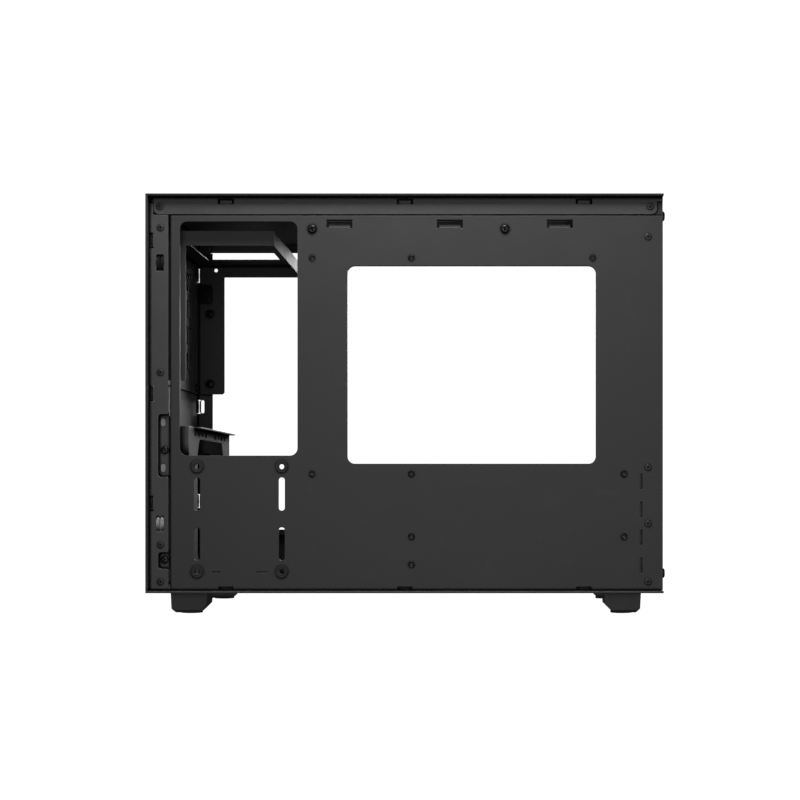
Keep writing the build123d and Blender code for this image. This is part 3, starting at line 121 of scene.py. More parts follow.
class Finish:
    def __init__(self, name):
        self.material = bpy.data.materials.new(name)
        self.material.use_nodes = True
        self.tree = self.material.node_tree
        self.shader = self.tree.nodes["Principled BSDF"]
        self.place = self.node("ShaderNodeTexCoord", {}, {}, "Object")
        self.facing = self.node("ShaderNodeNewGeometry", {}, {}, "Normal")

    # Any node: its settings first, then its sockets, which take numbers, tuples or wires.
    def node(self, kind, settings=None, inputs=None, output=0):
        made = self.tree.nodes.new(kind)
        for key, value in (settings or {}).items():
            setattr(made, key, value)
        for key, value in (inputs or {}).items():
            if isinstance(value, Wire):
                self.tree.links.new(value.socket, made.inputs[key])
            else:
                made.inputs[key].default_value = value
        return Wire(self, made.outputs[output])

    def noise(self, size, detail=2.0, rough=0.5, place=None):
        return self.node("ShaderNodeTexNoise", {}, {
            "Vector": place or self.place, "Scale": 1.0 / size, "Detail": detail, "Roughness": rough})

    def spread(self, value, low, high, outLow=0.0, outHigh=1.0):
        return self.node("ShaderNodeMapRange", {}, {
            "Value": value, "From Min": low, "From Max": high, "To Min": outLow, "To Max": outHigh})

    def mixColours(self, share, first, second):
        return self.node("ShaderNodeMix", {"data_type": "RGBA"}, {0: share, 6: first, 7: second}, 2)

    def bump(self, height, strength, distance, under=None):
        inputs = {"Height": height, "Strength": strength, "Distance": distance}
        if under is not None:
            inputs["Normal"] = under
        return self.node("ShaderNodeBump", {}, inputs)

    def stretched(self, scale):
        return self.node("ShaderNodeMapping", {}, {"Vector": self.place, "Scale": scale})

    def split(self, vector, axis):
        return self.node("ShaderNodeSeparateXYZ", {}, {"Vector": vector}, axis)

    # The surface's direction with every corner rounded, as a bend and the coat's build-up leave it
    def rounded(self, radius):
        return self.node("ShaderNodeBevel", {"samples": probes["samples"]}, {"Radius": radius})

    # 0 on an open surface, 1 down in a gap or a hole: the mask for painted shade where light hardly
    # reaches
    def shadeMask(self, reach):
        exposed = self.node("ShaderNodeAmbientOcclusion", {"samples": probes["samples"]},
                            {"Distance": reach}, "AO")
        return self.spread(exposed, probes["shut"], probes["open"], 1.0, 0.0)

    # 1 along a corner, 0 away from it
    def corner(self, rounded, low=0.02, high=0.20):
        turn = self.node("ShaderNodeVectorMath", {"operation": "DOT_PRODUCT"},
                         {0: rounded, 1: self.facing}, "Value")
        return self.spread(1 - turn, low, high)

    # Painted shade in the hollows: a near-black matt surface mixed in by the mask, so it takes the gloss
    # as well as the colour.
    def paintShadeIn(self, hollow, level):
        paintedShade = self.tree.nodes.new("ShaderNodeBsdfDiffuse")
        paintedShade.inputs["Color"].default_value = grey(level)
        mixed = self.node("ShaderNodeMixShader", {}, {
            0: hollow, 1: Wire(self, self.shader.outputs[0]), 2: Wire(self, paintedShade.outputs[0])})
        self.tree.links.new(mixed.socket, self.tree.nodes["Material Output"].inputs["Surface"])

    def set(self, **sockets):
        names = {
            "colour": "Base Color", "rough": "Roughness", "metal": "Metallic", "normal": "Normal",
            "specular": "Specular IOR Level", "clear": "Transmission Weight",
        }
        for key, value in sockets.items():
            socket = self.shader.inputs[names[key]]
            if isinstance(value, Wire):
                self.tree.links.new(value.socket, socket)
            else:
                socket.default_value = value


def grey(level, warmth=0.0):
    return (level * (1 + warmth), level, level * (1 - warmth), 1.0)


# Powder coat: a fine orange-peel skin over steel, faint mottling, worn corners with a painted highlight,
# a little dust on top and painted shade in the gaps
powderCoat = {
    "deep": 0.015, "light": 0.020, "speck": 0.050, "wornHighlight": 0.11, "dust": 0.09, "rough": (0.50, 0.60),
    "specular": 0.40, "edge": 0.55 * mm, "grain": 0.45 * mm, "peel": 1.7 * mm, "mottle": 38 * mm,
    "relief": 0.050 * mm, "hollow": 2.6 * mm, "paintedShade": 0.0012, "wearPatch": 5 * mm, "dustPatch": 9 * mm,
    "scuffs": (420.0, 70.0, 70.0), "grainBump": 0.55, "peelBump": 0.25,
}


def makePowderCoat(name, facts, lift=1.0):
    finish = Finish(name)
    rounded = finish.rounded(facts["edge"])
    mottle = finish.noise(facts["mottle"], 3.0, 0.6)
    grain = finish.noise(facts["grain"], 2.0, 0.6)
    peel = finish.noise(facts["peel"], 1.0, 0.4)
    colour = finish.mixColours(
        finish.spread(mottle, 0.35, 0.65), grey(facts["deep"] * lift), grey(facts["light"] * lift, 0.01))
    colour = finish.mixColours(
        finish.spread(grain, 0.60, 0.78, 0.0, 0.35), colour, grey(facts["speck"] * lift))
    # Worn corners: real wear, made light enough to stand as a painted highlight along every edge
    patches = finish.noise(facts["wearPatch"], 3.0, 0.6)
    wearAndHighlight = finish.corner(rounded) * finish.spread(patches, 0.30, 0.62, 0.25, 0.85)
    colour = finish.mixColours(wearAndHighlight, colour, grey(facts["wornHighlight"] * lift))
    up = finish.spread(finish.split(finish.facing, 2), 0.75, 1.0, 0.0, 0.16)
    settled = up * finish.spread(finish.noise(facts["dustPatch"], 4.0, 0.65), 0.38, 0.70)
    colour = finish.mixColours(settled, colour, grey(facts["dust"], 0.02))
    # Painted shade down in the gaps and holes
    hollow = finish.shadeMask(facts["hollow"])
    scuff = finish.noise(1.0, 3.0, 0.7, finish.stretched(facts["scuffs"]))
    rough = finish.spread(mottle, 0.3, 0.7, facts["rough"][0], facts["rough"][1])
    rough = rough + finish.spread(scuff, 0.62, 0.80, 0.0, -0.08) - wearAndHighlight * 0.10
    relief = finish.bump(grain, facts["grainBump"], facts["relief"], rounded)
    relief = finish.bump(peel, facts["peelBump"], facts["relief"] * 2.0, relief)
    finish.set(colour=colour, rough=rough, normal=relief, specular=facts["specular"])
    finish.paintShadeIn(hollow, facts["paintedShade"])
    return finish.material


# Black moulded plastic with a fine spark-eroded grain
mouldedPlastic = {
    "deep": 0.018, "light": 0.025, "speck": 0.045, "rough": (0.50, 0.62), "grain": 0.35 * mm,
    "wave": 14 * mm, "relief": 0.022 * mm, "edge": 0.30 * mm, "specular": 0.45, "hollow": 2.0 * mm,
}


def makeMouldedPlastic(name, facts, lift=1.0):
    finish = Finish(name)
    rounded = finish.rounded(facts["edge"])
    wave = finish.noise(facts["wave"], 2.0, 0.5)
    grain = finish.noise(facts["grain"], 3.0, 0.7)
    colour = finish.mixColours(
        finish.spread(wave, 0.3, 0.7), grey(facts["deep"] * lift), grey(facts["light"] * lift, -0.01))
    colour = finish.mixColours(
        finish.spread(grain, 0.55, 0.8, 0.0, 0.25), colour, grey(facts["speck"] * lift))
    # Corners painted lighter: a painted highlight along the edges
    colour = finish.mixColours(finish.corner(rounded) * 0.35, colour, grey(facts["speck"] * lift * 1.3))
    rough = finish.spread(grain, 0.3, 0.7, facts["rough"][0], facts["rough"][1])
    rough = rough + finish.spread(wave, 0.3, 0.7, -0.03, 0.03)
    finish.set(colour=colour, rough=rough, normal=finish.bump(grain, 0.6, facts["relief"], rounded),
               specular=facts["specular"])
    # Painted shade down in the gaps
    finish.paintShadeIn(finish.shadeMask(facts["hollow"]), facts["deep"] * 0.1)
    return finish.material


# Soft rubber: very matt, with a powdery bloom
softRubber = {
    "deep": 0.014, "bloom": 0.042, "rough": (0.72, 0.88), "grain": 0.5 * mm, "cloud": 6 * mm,
    "relief": 0.03 * mm, "specular": 0.35,
}


def makeSoftRubber(name, facts):
    finish = Finish(name)
    cloud = finish.noise(facts["cloud"], 4.0, 0.7)
    grain = finish.noise(facts["grain"], 2.0, 0.6)
    colour = finish.mixColours(
        finish.spread(cloud, 0.42, 0.72, 0.0, 0.6), grey(facts["deep"]), grey(facts["bloom"], 0.03))
    rough = finish.spread(cloud, 0.3, 0.7, facts["rough"][0], facts["rough"][1])
    finish.set(colour=colour, rough=rough, normal=finish.bump(grain, 0.5, facts["relief"]),
               specular=facts["specular"])
    return finish.material


# Bare and plated metals: fine drawn lines, cloudy plating, corners rubbed bright on the screws that also
# stand as painted glints, and painted shade in the gaps
plating = {
    "cloud": 3.5 * mm, "gap": 1.2 * mm, "fill": 0.9, "paintedShade": 0.002, "relief": 0.012 * mm,
    "edge": 0.18 * mm, "rub": 1.1 * mm, "bare": 0.7,
}
platedMetal = {
    "blackZinc": {"low": grey(0.004), "high": grey(0.014, -0.02), "metal": 0.25, "specular": 0.30,
                  "wornHighlight": grey(0.42), "rough": (0.16, 0.28), "lines": (900.0, 900.0, 2600.0)},
    # A near-black copy of the spring steel: painted shade for the upper catches
    "shadedSpring": {"low": grey(0.003), "high": grey(0.008), "metal": 0.10, "specular": 0.12,
                   "rough": (0.48, 0.60), "lines": (2400.0, 2400.0, 260.0)},
    "springSteel": {"low": grey(0.22), "high": grey(0.34, -0.01), "metal": 0.9,
                    "rough": (0.42, 0.56), "lines": (2400.0, 2400.0, 260.0)},
    "platedShell": {"low": grey(0.50), "high": grey(0.64, 0.01), "metal": 1.0,
                    "rough": (0.18, 0.32), "lines": (2600.0, 240.0, 2600.0)},
    "pinBrass": {"low": (0.60, 0.46, 0.20, 1), "high": (0.74, 0.60, 0.30, 1), "metal": 1.0,
                 "rough": (0.20, 0.34), "lines": (2600.0, 260.0, 2600.0)},
    "solderTin": {"low": grey(0.42), "high": grey(0.62), "metal": 1.0,
                  "rough": (0.22, 0.40), "lines": (1500.0, 1500.0, 1500.0)},
}


def makePlatedMetal(name, facts):
    finish = Finish(name)
    cloud = finish.noise(plating["cloud"], 3.0, 0.6)
    lines = finish.noise(1.0, 2.0, 0.6, finish.stretched(facts["lines"]))
    tone = finish.spread(cloud * 0.6 + lines * 0.4, 0.36, 0.64)
    rough = finish.spread(lines, 0.3, 0.7, facts["rough"][0], facts["rough"][1])
    # Painted shade down in the gaps and recesses
    finish.paintShadeIn(finish.shadeMask(plating["gap"]) * plating["fill"], plating["paintedShade"])
    colour = finish.mixColours(tone, facts["low"], facts["high"])
    metal = finish.spread(cloud, 0.2, 0.8, facts["metal"], facts["metal"] * 0.96)
    if "wornHighlight" in facts:
        # Rubbed corners: real wear to bare zinc, whose bright specks are also painted glints
        rubbedGlint = finish.corner(finish.rounded(plating["edge"]), 0.03, 0.15)
        rubbedGlint = rubbedGlint * finish.spread(finish.noise(plating["rub"], 2.0, 0.6), 0.50, 0.62)
        colour = finish.mixColours(rubbedGlint, colour, facts["wornHighlight"])
        metal = metal + rubbedGlint * plating["bare"]
    finish.set(
        colour=colour, rough=rough, metal=metal,
        normal=finish.bump(lines, 0.35, plating["relief"]), specular=facts.get("specular", 0.5))
    return finish.material


# Circuit board: dark solder mask with faint tracks under it
boardMask = {
    "mask": (0.008, 0.020, 0.012, 1), "track": (0.020, 0.055, 0.030, 1), "fleck": (0.03, 0.07, 0.04, 1),
    "tracksPerMetre": 420.0, "weave": 0.8 * mm, "relief": 0.02 * mm,
}


def makeBoardLaminate(name, facts):
    finish = Finish(name)
    cell = finish.node("ShaderNodeTexBrick", {"offset": 0.5}, {
        "Vector": finish.place, "Scale": facts["tracksPerMetre"], "Mortar Size": 0.05,
        "Color1": grey(0.0), "Color2": grey(0.25), "Mortar": grey(1.0)})
    weave = finish.noise(facts["weave"], 2.0, 0.5)
    track = finish.node("ShaderNodeRGBToBW", {}, {"Color": cell})
    colour = finish.mixColours(track * 0.4, facts["mask"], facts["track"])
    colour = finish.mixColours(finish.spread(weave, 0.5, 0.8, 0.0, 0.3), colour, facts["fleck"])
    finish.set(colour=colour, rough=finish.spread(weave, 0.3, 0.7, 0.30, 0.42),
               normal=finish.bump(weave, 0.3, facts["relief"]))
    return finish.material


# Milky lens of the power light
lightLens = {
    "low": grey(0.62, -0.04), "high": grey(0.82, -0.02), "rough": (0.12, 0.24), "clear": 0.35,
    "cloud": 1.2 * mm, "relief": 0.02 * mm,
}


def makeLightLens(name, facts):
    finish = Finish(name)
    cloud = finish.noise(facts["cloud"], 2.0, 0.5)
    finish.set(
        colour=finish.mixColours(finish.spread(cloud, 0.3, 0.7), facts["low"], facts["high"]),
        rough=finish.spread(cloud, 0.3, 0.7, facts["rough"][0], facts["rough"][1]),
        normal=finish.bump(cloud, 0.2, facts["relief"]), clear=facts["clear"])
    return finish.material


blackCoat = makePowderCoat("blackPowderCoat", powderCoat)
# Lighter and darker copies of the one black coat, set by how light falls: painted shade on the top cover
# and the rivets, painted light on the base, the columns and the strip
topShadedCoat = makePowderCoat("topPowderCoatShaded", dict(powderCoat, specular=0.28), 0.45)
baseLitCoat = makePowderCoat("basePowderCoatLit", powderCoat, 1.35)
columnLitCoat = makePowderCoat("columnPowderCoatLit", powderCoat, 1.9)
stripLitCoat = makePowderCoat("stripPowderCoatLit", powderCoat, 2.2)
# The bracket's copy is painted lighter still, and its painted shade reaches further into the gaps
bracketLitCoat = makePowderCoat("bracketPowderCoatLit", dict(powderCoat, hollow=8 * mm), 3.6)
rivetShadedCoat = makePowderCoat("rivetPowderCoatShaded", dict(powderCoat, rough=(0.42, 0.52), edge=0.2 * mm), 0.4)
shadedSpring = makePlatedMetal("shadedSpring", platedMetal["shadedSpring"])
solderTin = makePlatedMetal("solderTin", platedMetal["solderTin"])
finishes = {
    "black_powder_coat": blackCoat,
    "black_zinc": makePlatedMetal("blackZinc", platedMetal["blackZinc"]),
    "black_plastic": makeMouldedPlastic("blackPlastic", mouldedPlastic, 1.25),
    "grey_plastic": makeMouldedPlastic("greyPlastic", mouldedPlastic, 8.0),
    "button_plastic": makeMouldedPlastic("buttonPlastic", mouldedPlastic, 1.5),
    "spring_steel": makePlatedMetal("springSteel", platedMetal["springSteel"]),
    "black_rubber": makeSoftRubber("blackRubber", softRubber),
    "plated_steel": makePlatedMetal("platedShell", platedMetal["platedShell"]),
    "pin_brass": makePlatedMetal("pinBrass", platedMetal["pinBrass"]),
    "board_laminate": makeBoardLaminate("boardLaminate", boardMask),
    "light_lens": makeLightLens("lightLens", lightLens),
}
print("finishes made")


# Folded sheets keep their solids and take the finish of their slot, or a lighter or darker copy of the
# black coat that is painted light or painted shade. So do the solids that are drawn anew further down.
sheetLitShadedCoats = {
    "top_cover": topShadedCoat, "bottom_plate": baseLitCoat, "lower_front_bracket": bracketLitCoat,
    "front_frame": columnLitCoat, "top_frame": stripLitCoat,
}


def dressSheet(node):
    body = frame["nodes"][node]
    body.data.materials.clear()
    body.data.materials.append(sheetLitShadedCoats.get(node, finishes[slotOf[node]]))


for node in frame["nodes"]:
    dressSheet(node)
print("sheets coated")


# Drawing pieces: a bmesh becomes an object that rides on a body and stands for its nodes.
def finishPiece(name, build, material, like, *nodes, sharp=32.0):
    bmesh.ops.recalc_face_normals(build, faces=build.faces)
    mesh = bpy.data.meshes.new(name)
    build.to_mesh(mesh)
    build.free()
    for face in mesh.polygons:
        face.use_smooth = True
    mesh.set_sharp_from_angle(angle=math.radians(sharp))
    mesh.materials.append(material)
    piece = bpy.data.objects.new(name, mesh)
    bpy.context.scene.collection.objects.link(piece)
    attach(piece, bodyOf[like])
    if nodes:
        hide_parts(*nodes)
    return piece


# The separate solids of a node, each as a list of its corner points, in the same order each run
def solidsOf(node):
    build = bmesh.new()
    build.from_mesh(frame["nodes"][node].data)
    bmesh.ops.remove_doubles(build, verts=build.verts, dist=weld)
    waiting = dict.fromkeys(build.verts)
    solids = []
    while waiting:
        found = [waiting.popitem()[0]]
        for vert in found:
            for edge in vert.link_edges:
                near = edge.other_vert(vert)
                if near in waiting:
                    del waiting[near]
                    found.append(near)
        solids.append([vert.co.copy() for vert in found])
    build.free()
    return sorted(solids, key=lambda points: tuple(round(value, 6) for value in corners(points)[0]))


def corners(points):
    low = Vector([min(point[axis] for point in points) for axis in range(3)])
    high = Vector([max(point[axis] for point in points) for axis in range(3)])
    return low, high


def seatOn(point, axis, turn=0.0):
    tilt = Vector((0, 0, 1)).rotation_difference(Vector(axis)).to_matrix().to_4x4()
    return Matrix.Translation(point) @ tilt @ Matrix.Rotation(turn, 4, "Z")


def joinRings(build, low, high):
    count = max(len(low), len(high))
    for step in range(count):
        after = (step + 1) % count
        if len(low) == 1:
            build.faces.new((low[0], high[step], high[after]))
        elif len(high) == 1:
            build.faces.new((low[step], low[after], high[0]))
        else:
            build.faces.new((low[step], low[after], high[after], high[step]))


def drawRing(build, seat, radius, height, sides, shape=None):
    if radius == 0:
        return [build.verts.new(seat @ Vector((0, 0, height)))]
    ring = []
    for step in range(sides):
        angle = 2 * math.pi * step / sides
        reach = radius * (shape(angle) if shape else 1.0)
        point = Vector((reach * math.cos(angle), reach * math.sin(angle), height))
        ring.append(build.verts.new(seat @ point))
    return ring


# A turned form: the profile is (radius, height) pairs, and closed joins its end to its start.
def turned(build, seat, profile, sides=40, closed=False):
    rings = [drawRing(build, seat, radius, height, sides) for radius, height in profile]
    for low, high in zip(rings, rings[1:]):
        joinRings(build, low, high)
    if closed:
        joinRings(build, rings[-1], rings[0])
    return rings


def drawBlock(build, low, high, edge):
    made = bmesh.ops.create_cube(build, size=1.0)["verts"]
    size = Vector(high) - Vector(low)
    middle = (Vector(high) + Vector(low)) / 2
    for vert in made:
        vert.co = Vector([middle[axis] + vert.co[axis] * size[axis] for axis in range(3)])
    edges = list(dict.fromkeys(near for vert in made for near in vert.link_edges))
    bmesh.ops.bevel(build, geom=edges, offset=edge, segments=2, affect="EDGES", profile=0.6)


# Small mouldings and pressings: the solid's own form with its corners broken
softening = {"flat": 0.5, "skew": 60.0, "segments": 2, "angle": 28.0, "weight": 100}


def softened(node, width, facts, material=None):
    source = frame["nodes"][node]
    mesh = bpy.data.meshes.new(node + "Dressed")
    build = bmesh.new()
    build.from_mesh(source.data)
    bmesh.ops.remove_doubles(build, verts=build.verts, dist=weld)
    bmesh.ops.join_triangles(build, faces=build.faces, angle_face_threshold=math.radians(facts["flat"]),
                             angle_shape_threshold=math.radians(facts["skew"]))
    build.to_mesh(mesh)
    build.free()
    for face in mesh.polygons:
        face.use_smooth = True
    mesh.materials.append(material or finishes[slotOf[node]])
    piece = bpy.data.objects.new(node + "Dressed", mesh)
    bpy.context.scene.collection.objects.link(piece)
    bevel = piece.modifiers.new("edges", "BEVEL")
    bevel.width = width
    bevel.segments = facts["segments"]
    bevel.limit_method = "ANGLE"
    bevel.angle_limit = math.radians(facts["angle"])
    bevel.face_strength_mode = "FSTR_AFFECTED"
    flats = piece.modifiers.new("flats", "WEIGHTED_NORMAL")
    flats.use_face_influence = True
    flats.keep_sharp = True
    flats.weight = facts["weight"]
    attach(piece, bodyOf[node])
    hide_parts(node)


# Screws: pan heads with a cross recess and a rolled thread, read off the frame's own screws
screws = {
    "nodes": ["tray_screws", "port_housing_screws", "lower_bracket_screws", "supply_bracket_screws",
              "slot_cover_screws", "panel_screws", "inlet_screws", "foot_screws", "port_board_screws"],
    "sides": 44, "reach": 0.60, "arm": 0.18, "deep": 0.66, "taper": 0.62, "pitch": 0.62 * mm,
    "thread": 0.17 * mm, "threadSides": 20, "rowsPerTurn": 6, "runIn": 3.0, "point": 0.14,
    "bore": 0.9, "pip": 0.12, "firstTurn": 0.35, "nextTurn": 0.9,
    "flatTip": 1e-5, "outOfRound": 0.03, "tipShare": (0.2, 0.9), "rimShare": 0.55,
    "dome": [(0.97, 0.0), (1.0, 0.10), (1.0, 0.40), (0.965, 0.64), (0.88, 0.82), (0.77, 0.93),
             (0.69, 1.0)],
}


# Seat, axis and sizes of a screw from its solid: the tip is round and narrower than the head.
def readScrew(points, facts):
    low, high = corners(points)
    least, most = facts["tipShare"]
    for axis in range(3):
        across = [side for side in range(3) if side != axis]
        for way in (1, -1):
            outer, tip = (high[axis], low[axis]) if way > 0 else (low[axis], high[axis])
            ends = [point for point in points if abs(point[axis] - tip) < facts["flatTip"]]
            endLow, endHigh = corners(ends)
            wide = [high[side] - low[side] for side in across]
            thin = [endHigh[side] - endLow[side] for side in across]
            unround = max(abs(wide[0] - wide[1]), abs(thin[0] - thin[1]))
            if unround >= wide[0] * facts["outOfRound"] or not least < thin[0] / wide[0] < most:
                continue
            middle = (low + high) / 2
            shank = thin[0] * facts["rimShare"]
            rim = [point for point in points
                   if sum((point[side] - middle[side]) ** 2 for side in across) > shank ** 2]
            base = min(way * point[axis] for point in rim) * way
            seat = middle.copy()
            seat[axis] = base
            facing = [0, 0, 0]
            facing[axis] = way
            return {"seat": seat, "facing": facing, "head": wide[0] / 2, "tall": abs(outer - base),
                    "shank": thin[0] / 2, "long": abs(base - tip)}
    return None


def ringEdges(build, ring):
    edges = []
    for first, second in zip(ring, ring[1:] + ring[:1]):
        edges.append(build.edges.get((first, second)) or build.edges.new((first, second)))
    return edges


def drawCross(build, seat, top, radius, height, facts):
    reach = radius * facts["reach"]
    half = radius * facts["arm"]
    outline = [
        (half, reach), (half, half), (reach, half), (reach, -half), (half, -half), (half, -reach),
        (-half, -reach), (-half, -half), (-reach, -half), (-reach, half), (-half, half), (-half, reach),
    ]
    lip = [build.verts.new(seat @ Vector((across, along, height))) for across, along in outline]
    bmesh.ops.triangle_fill(build, use_beauty=True, edges=ringEdges(build, top) + ringEdges(build, lip))
    deep = height - height * facts["deep"]
    shrink = facts["taper"]
    floor = [build.verts.new(seat @ Vector((across * shrink, along * shrink, deep)))
             for across, along in outline]
    joinRings(build, lip, floor)
    joinRings(build, floor, [build.verts.new(seat @ Vector((0, 0, deep - height * facts["pip"])))])


def drawThread(build, seat, radius, length, facts):
    rows = max(4, int(length / facts["pitch"] * facts["rowsPerTurn"]))
    rings = []
    for row in range(rows + 1):
        height = -length * row / rows
        ring = []
        for side in range(facts["threadSides"]):
            share = side / facts["threadSides"]
            climb = (height / facts["pitch"] - share) % 1.0
            crest = 1 - abs(2 * climb - 1)
            run = min(1.0, row / facts["runIn"])
            reach = radius - facts["thread"] * run * (1 - crest)
            if row > rows - 3:
                reach *= 1 - facts["point"] * (row - rows + 3)
            angle = 2 * math.pi * share
            point = Vector((reach * math.cos(angle), reach * math.sin(angle), height))
            ring.append(build.verts.new(seat @ point))
        rings.append(ring)
    for low, high in zip(rings, rings[1:]):
        joinRings(build, low, high)
    joinRings(build, rings[-1], [build.verts.new(seat @ Vector((0, 0, -length)))])
    joinRings(build, rings[0], [build.verts.new(seat @ Vector((0, 0, 0)))])


def makeScrews(node, facts):
    build = bmesh.new()
    for number, points in enumerate(solidsOf(node)):
        screw = readScrew(points, facts)
        seat = seatOn(screw["seat"], screw["facing"], facts["firstTurn"] + number * facts["nextTurn"])
        profile = [(screw["shank"] * facts["bore"], 0.0)]
        profile += [(screw["head"] * wide, screw["tall"] * tall) for wide, tall in facts["dome"]]
        rings = turned(build, seat, profile, facts["sides"])
        joinRings(build, rings[0], [build.verts.new(seat @ Vector((0, 0, 0)))])
        drawCross(build, seat, rings[-1], screw["head"], screw["tall"], facts)
        drawThread(build, seat, screw["shank"], screw["long"], facts)
    finishPiece(node + "Turned", build, finishes[slotOf[node]], node, node, sharp=40.0)


for node in screws["nodes"]:
    makeScrews(node, screws)
print("screws turned")


# Rivets: low domes with the break mark of their mandrel in the middle
rivets = {
    "sides": 36,
    "inner": [(0.0, 0.0), (0.55, 0.0), (0.90, 0.12), (1.0, 0.45), (1.0, 1.0), (0.62, 1.0)],
    "outer": [(0.62, 1.0), (1.0, 1.0), (1.0, 0.62), (0.95, 0.34), (0.80, 0.12), (0.55, 0.0), (0.36, 0.02),
              (0.30, 0.30), (0.26, 0.85), (0.0, 0.95)],
    "lip": 0.5 * mm,
}


def makeRivets(facts):
    build = bmesh.new()
    for points in solidsOf("chassis_rivets"):
        low, high = corners(points)
        middle = (low + high) / 2
        way = 1 if middle.x > 0 else -1
        start = Vector((low.x if way > 0 else high.x, middle.y, middle.z))
        radius = (high.y - low.y) / 2
        length = high.x - low.x
        seat = seatOn(start, (way, 0, 0))
        profile = [(radius * wide, facts["lip"] * tall) for wide, tall in facts["inner"]]
        profile += [(radius * wide, length - facts["lip"] * tall) for wide, tall in facts["outer"]]
        turned(build, seat, profile, facts["sides"])
    finishPiece("chassisRivetsDomed", build, rivetShadedCoat, "chassis_rivets", "chassis_rivets")


makeRivets(rivets)
print("rivets set")


# Board standoffs: hexagon posts, each swaged over the sheet with a dimple in its end
standoffs = {
    "sides": 36, "thread": 1.4 * mm, "bore": 5.2 * mm, "drillPoint": 0.6 * mm, "barrel": 6.5 * mm,
    "sheet": 1.0 * mm, "chamfer": 0.35 * mm, "backChamfer": 0.2 * mm, "face": 0.84, "neck": 0.53,
    "swage": [(0.53, 0.0), (0.75, 0.0), (0.75, 0.24), (0.70, 0.42), (0.60, 0.50), (0.50, 0.42),
              (0.46, 0.10), (0.40, -0.05), (0.22, -0.05), (0.16, 0.08), (0.0, 0.12)],
}


def hexagonal(angle):
    return math.cos(math.pi / 6) / math.cos((angle % (math.pi / 3)) - math.pi / 6)


def makeStandoffs(facts):
    build = bmesh.new()
    sides = facts["sides"]
    for points in solidsOf("board_standoffs"):
        low, high = corners(points)
        radius = (high.y - low.y) / 2
        seat = seatOn((low.x, (low.y + high.y) / 2, (low.z + high.z) / 2), (1, 0, 0))
        barrel = facts["barrel"]
        rings = [
            drawRing(build, seat, 0, facts["bore"], sides),
            drawRing(build, seat, facts["thread"], facts["bore"] - facts["drillPoint"], sides),
            drawRing(build, seat, facts["thread"], facts["chamfer"], sides),
            drawRing(build, seat, facts["thread"] + facts["chamfer"], 0.0, sides),
            drawRing(build, seat, radius * facts["face"], 0.0, sides),
            drawRing(build, seat, radius, facts["chamfer"], sides, hexagonal),
            drawRing(build, seat, radius, barrel - facts["backChamfer"], sides, hexagonal),
            drawRing(build, seat, radius * facts["face"], barrel, sides),
            drawRing(build, seat, radius * facts["neck"], barrel, sides),
        ]
        swage = [(radius * wide, barrel + facts["sheet"] + tall * mm) for wide, tall in facts["swage"]]
        rings += [drawRing(build, seat, wide, tall, sides) for wide, tall in swage]
        for inner, outer in zip(rings, rings[1:]):
            joinRings(build, inner, outer)
    finishPiece("boardStandoffsSwaged", build, finishes["black_zinc"], "board_standoffs",
                "board_standoffs", sharp=26.0)


makeStandoffs(standoffs)
print("standoffs swaged")


# Drive grommets: two rubber lips round a neck, with a groove in the outer lip
grommets = {
    "sides": 48,
    "profile": [(1.8, 0.3), (2.1, 0.06), (2.6, 0.0), (3.9, 0.0), (4.35, 0.14), (4.5, 0.42), (4.3, 0.78),
                (3.0, 0.8), (3.0, 1.8), (4.3, 1.82), (4.5, 2.16), (4.38, 2.46), (4.05, 2.6), (3.55, 2.58),
                (3.2, 2.3), (2.95, 2.3), (2.7, 2.5), (2.3, 2.5), (1.95, 2.3), (1.8, 2.0)],
}


def makeGrommets(facts):
    build = bmesh.new()
    for points in solidsOf("drive_grommets"):
        low, high = corners(points)
        seat = seatOn((low.x, (low.y + high.y) / 2, (low.z + high.z) / 2), (1, 0, 0))
        profile = [(wide * mm, tall * mm) for wide, tall in facts["profile"]]
        turned(build, seat, profile, facts["sides"], closed=True)
    finishPiece("driveGrommetsMoulded", build, finishes["black_rubber"], "drive_grommets",
                "drive_grommets")


makeGrommets(grommets)
print("grommets moulded")


# Panel catches: a base plate with two bowed leaves that grip the side panel's stud. The leaves come
# first, because faces drawn after a bevel fill freed places in an order that changes from run to run.
# The upper catches take the near-black copy of the spring steel, painted shade in their slots
catches = {
    "nodes": {"catch_right_upper": shadedSpring, "catch_right_lower": None,
              "catch_left_upper": shadedSpring, "catch_left_lower": None},
    "steel": 0.5 * mm, "slit": 0.6 * mm, "reach": 0.38, "rows": 18, "leaf": 0.224, "bow": 0.55,
    "insideShrink": 0.9, "plateDepth": 3.0 * mm, "plate": 0.8 * mm, "plateEdge": 0.2 * mm,
    "stub": (2.2 * mm, 3.0 * mm), "stubEdge": 0.4 * mm,
}


def drawLeaf(build, near, far, y0, y1, zMiddle, half, facts):
    rows = facts["rows"]
    sheet = math.copysign(facts["steel"], far - near)
    strips = []
    for row in range(rows + 1):
        along = -1 + 2 * row / rows
        bow = math.cos(along * math.pi / 2) ** facts["bow"] if abs(along) < 1 else 0.0
        outer = near + (far - near) * bow
        z = zMiddle + half * along
        inside = zMiddle + half * along * facts["insideShrink"]
        strips.append([build.verts.new((outer, y0, z)), build.verts.new((outer, y1, z)),
                       build.verts.new((outer - sheet, y1, inside)),
                       build.verts.new((outer - sheet, y0, inside))])
    for low, high in zip(strips, strips[1:]):
        joinRings(build, low, high)
    build.faces.new(strips[0])
    build.faces.new(strips[-1])


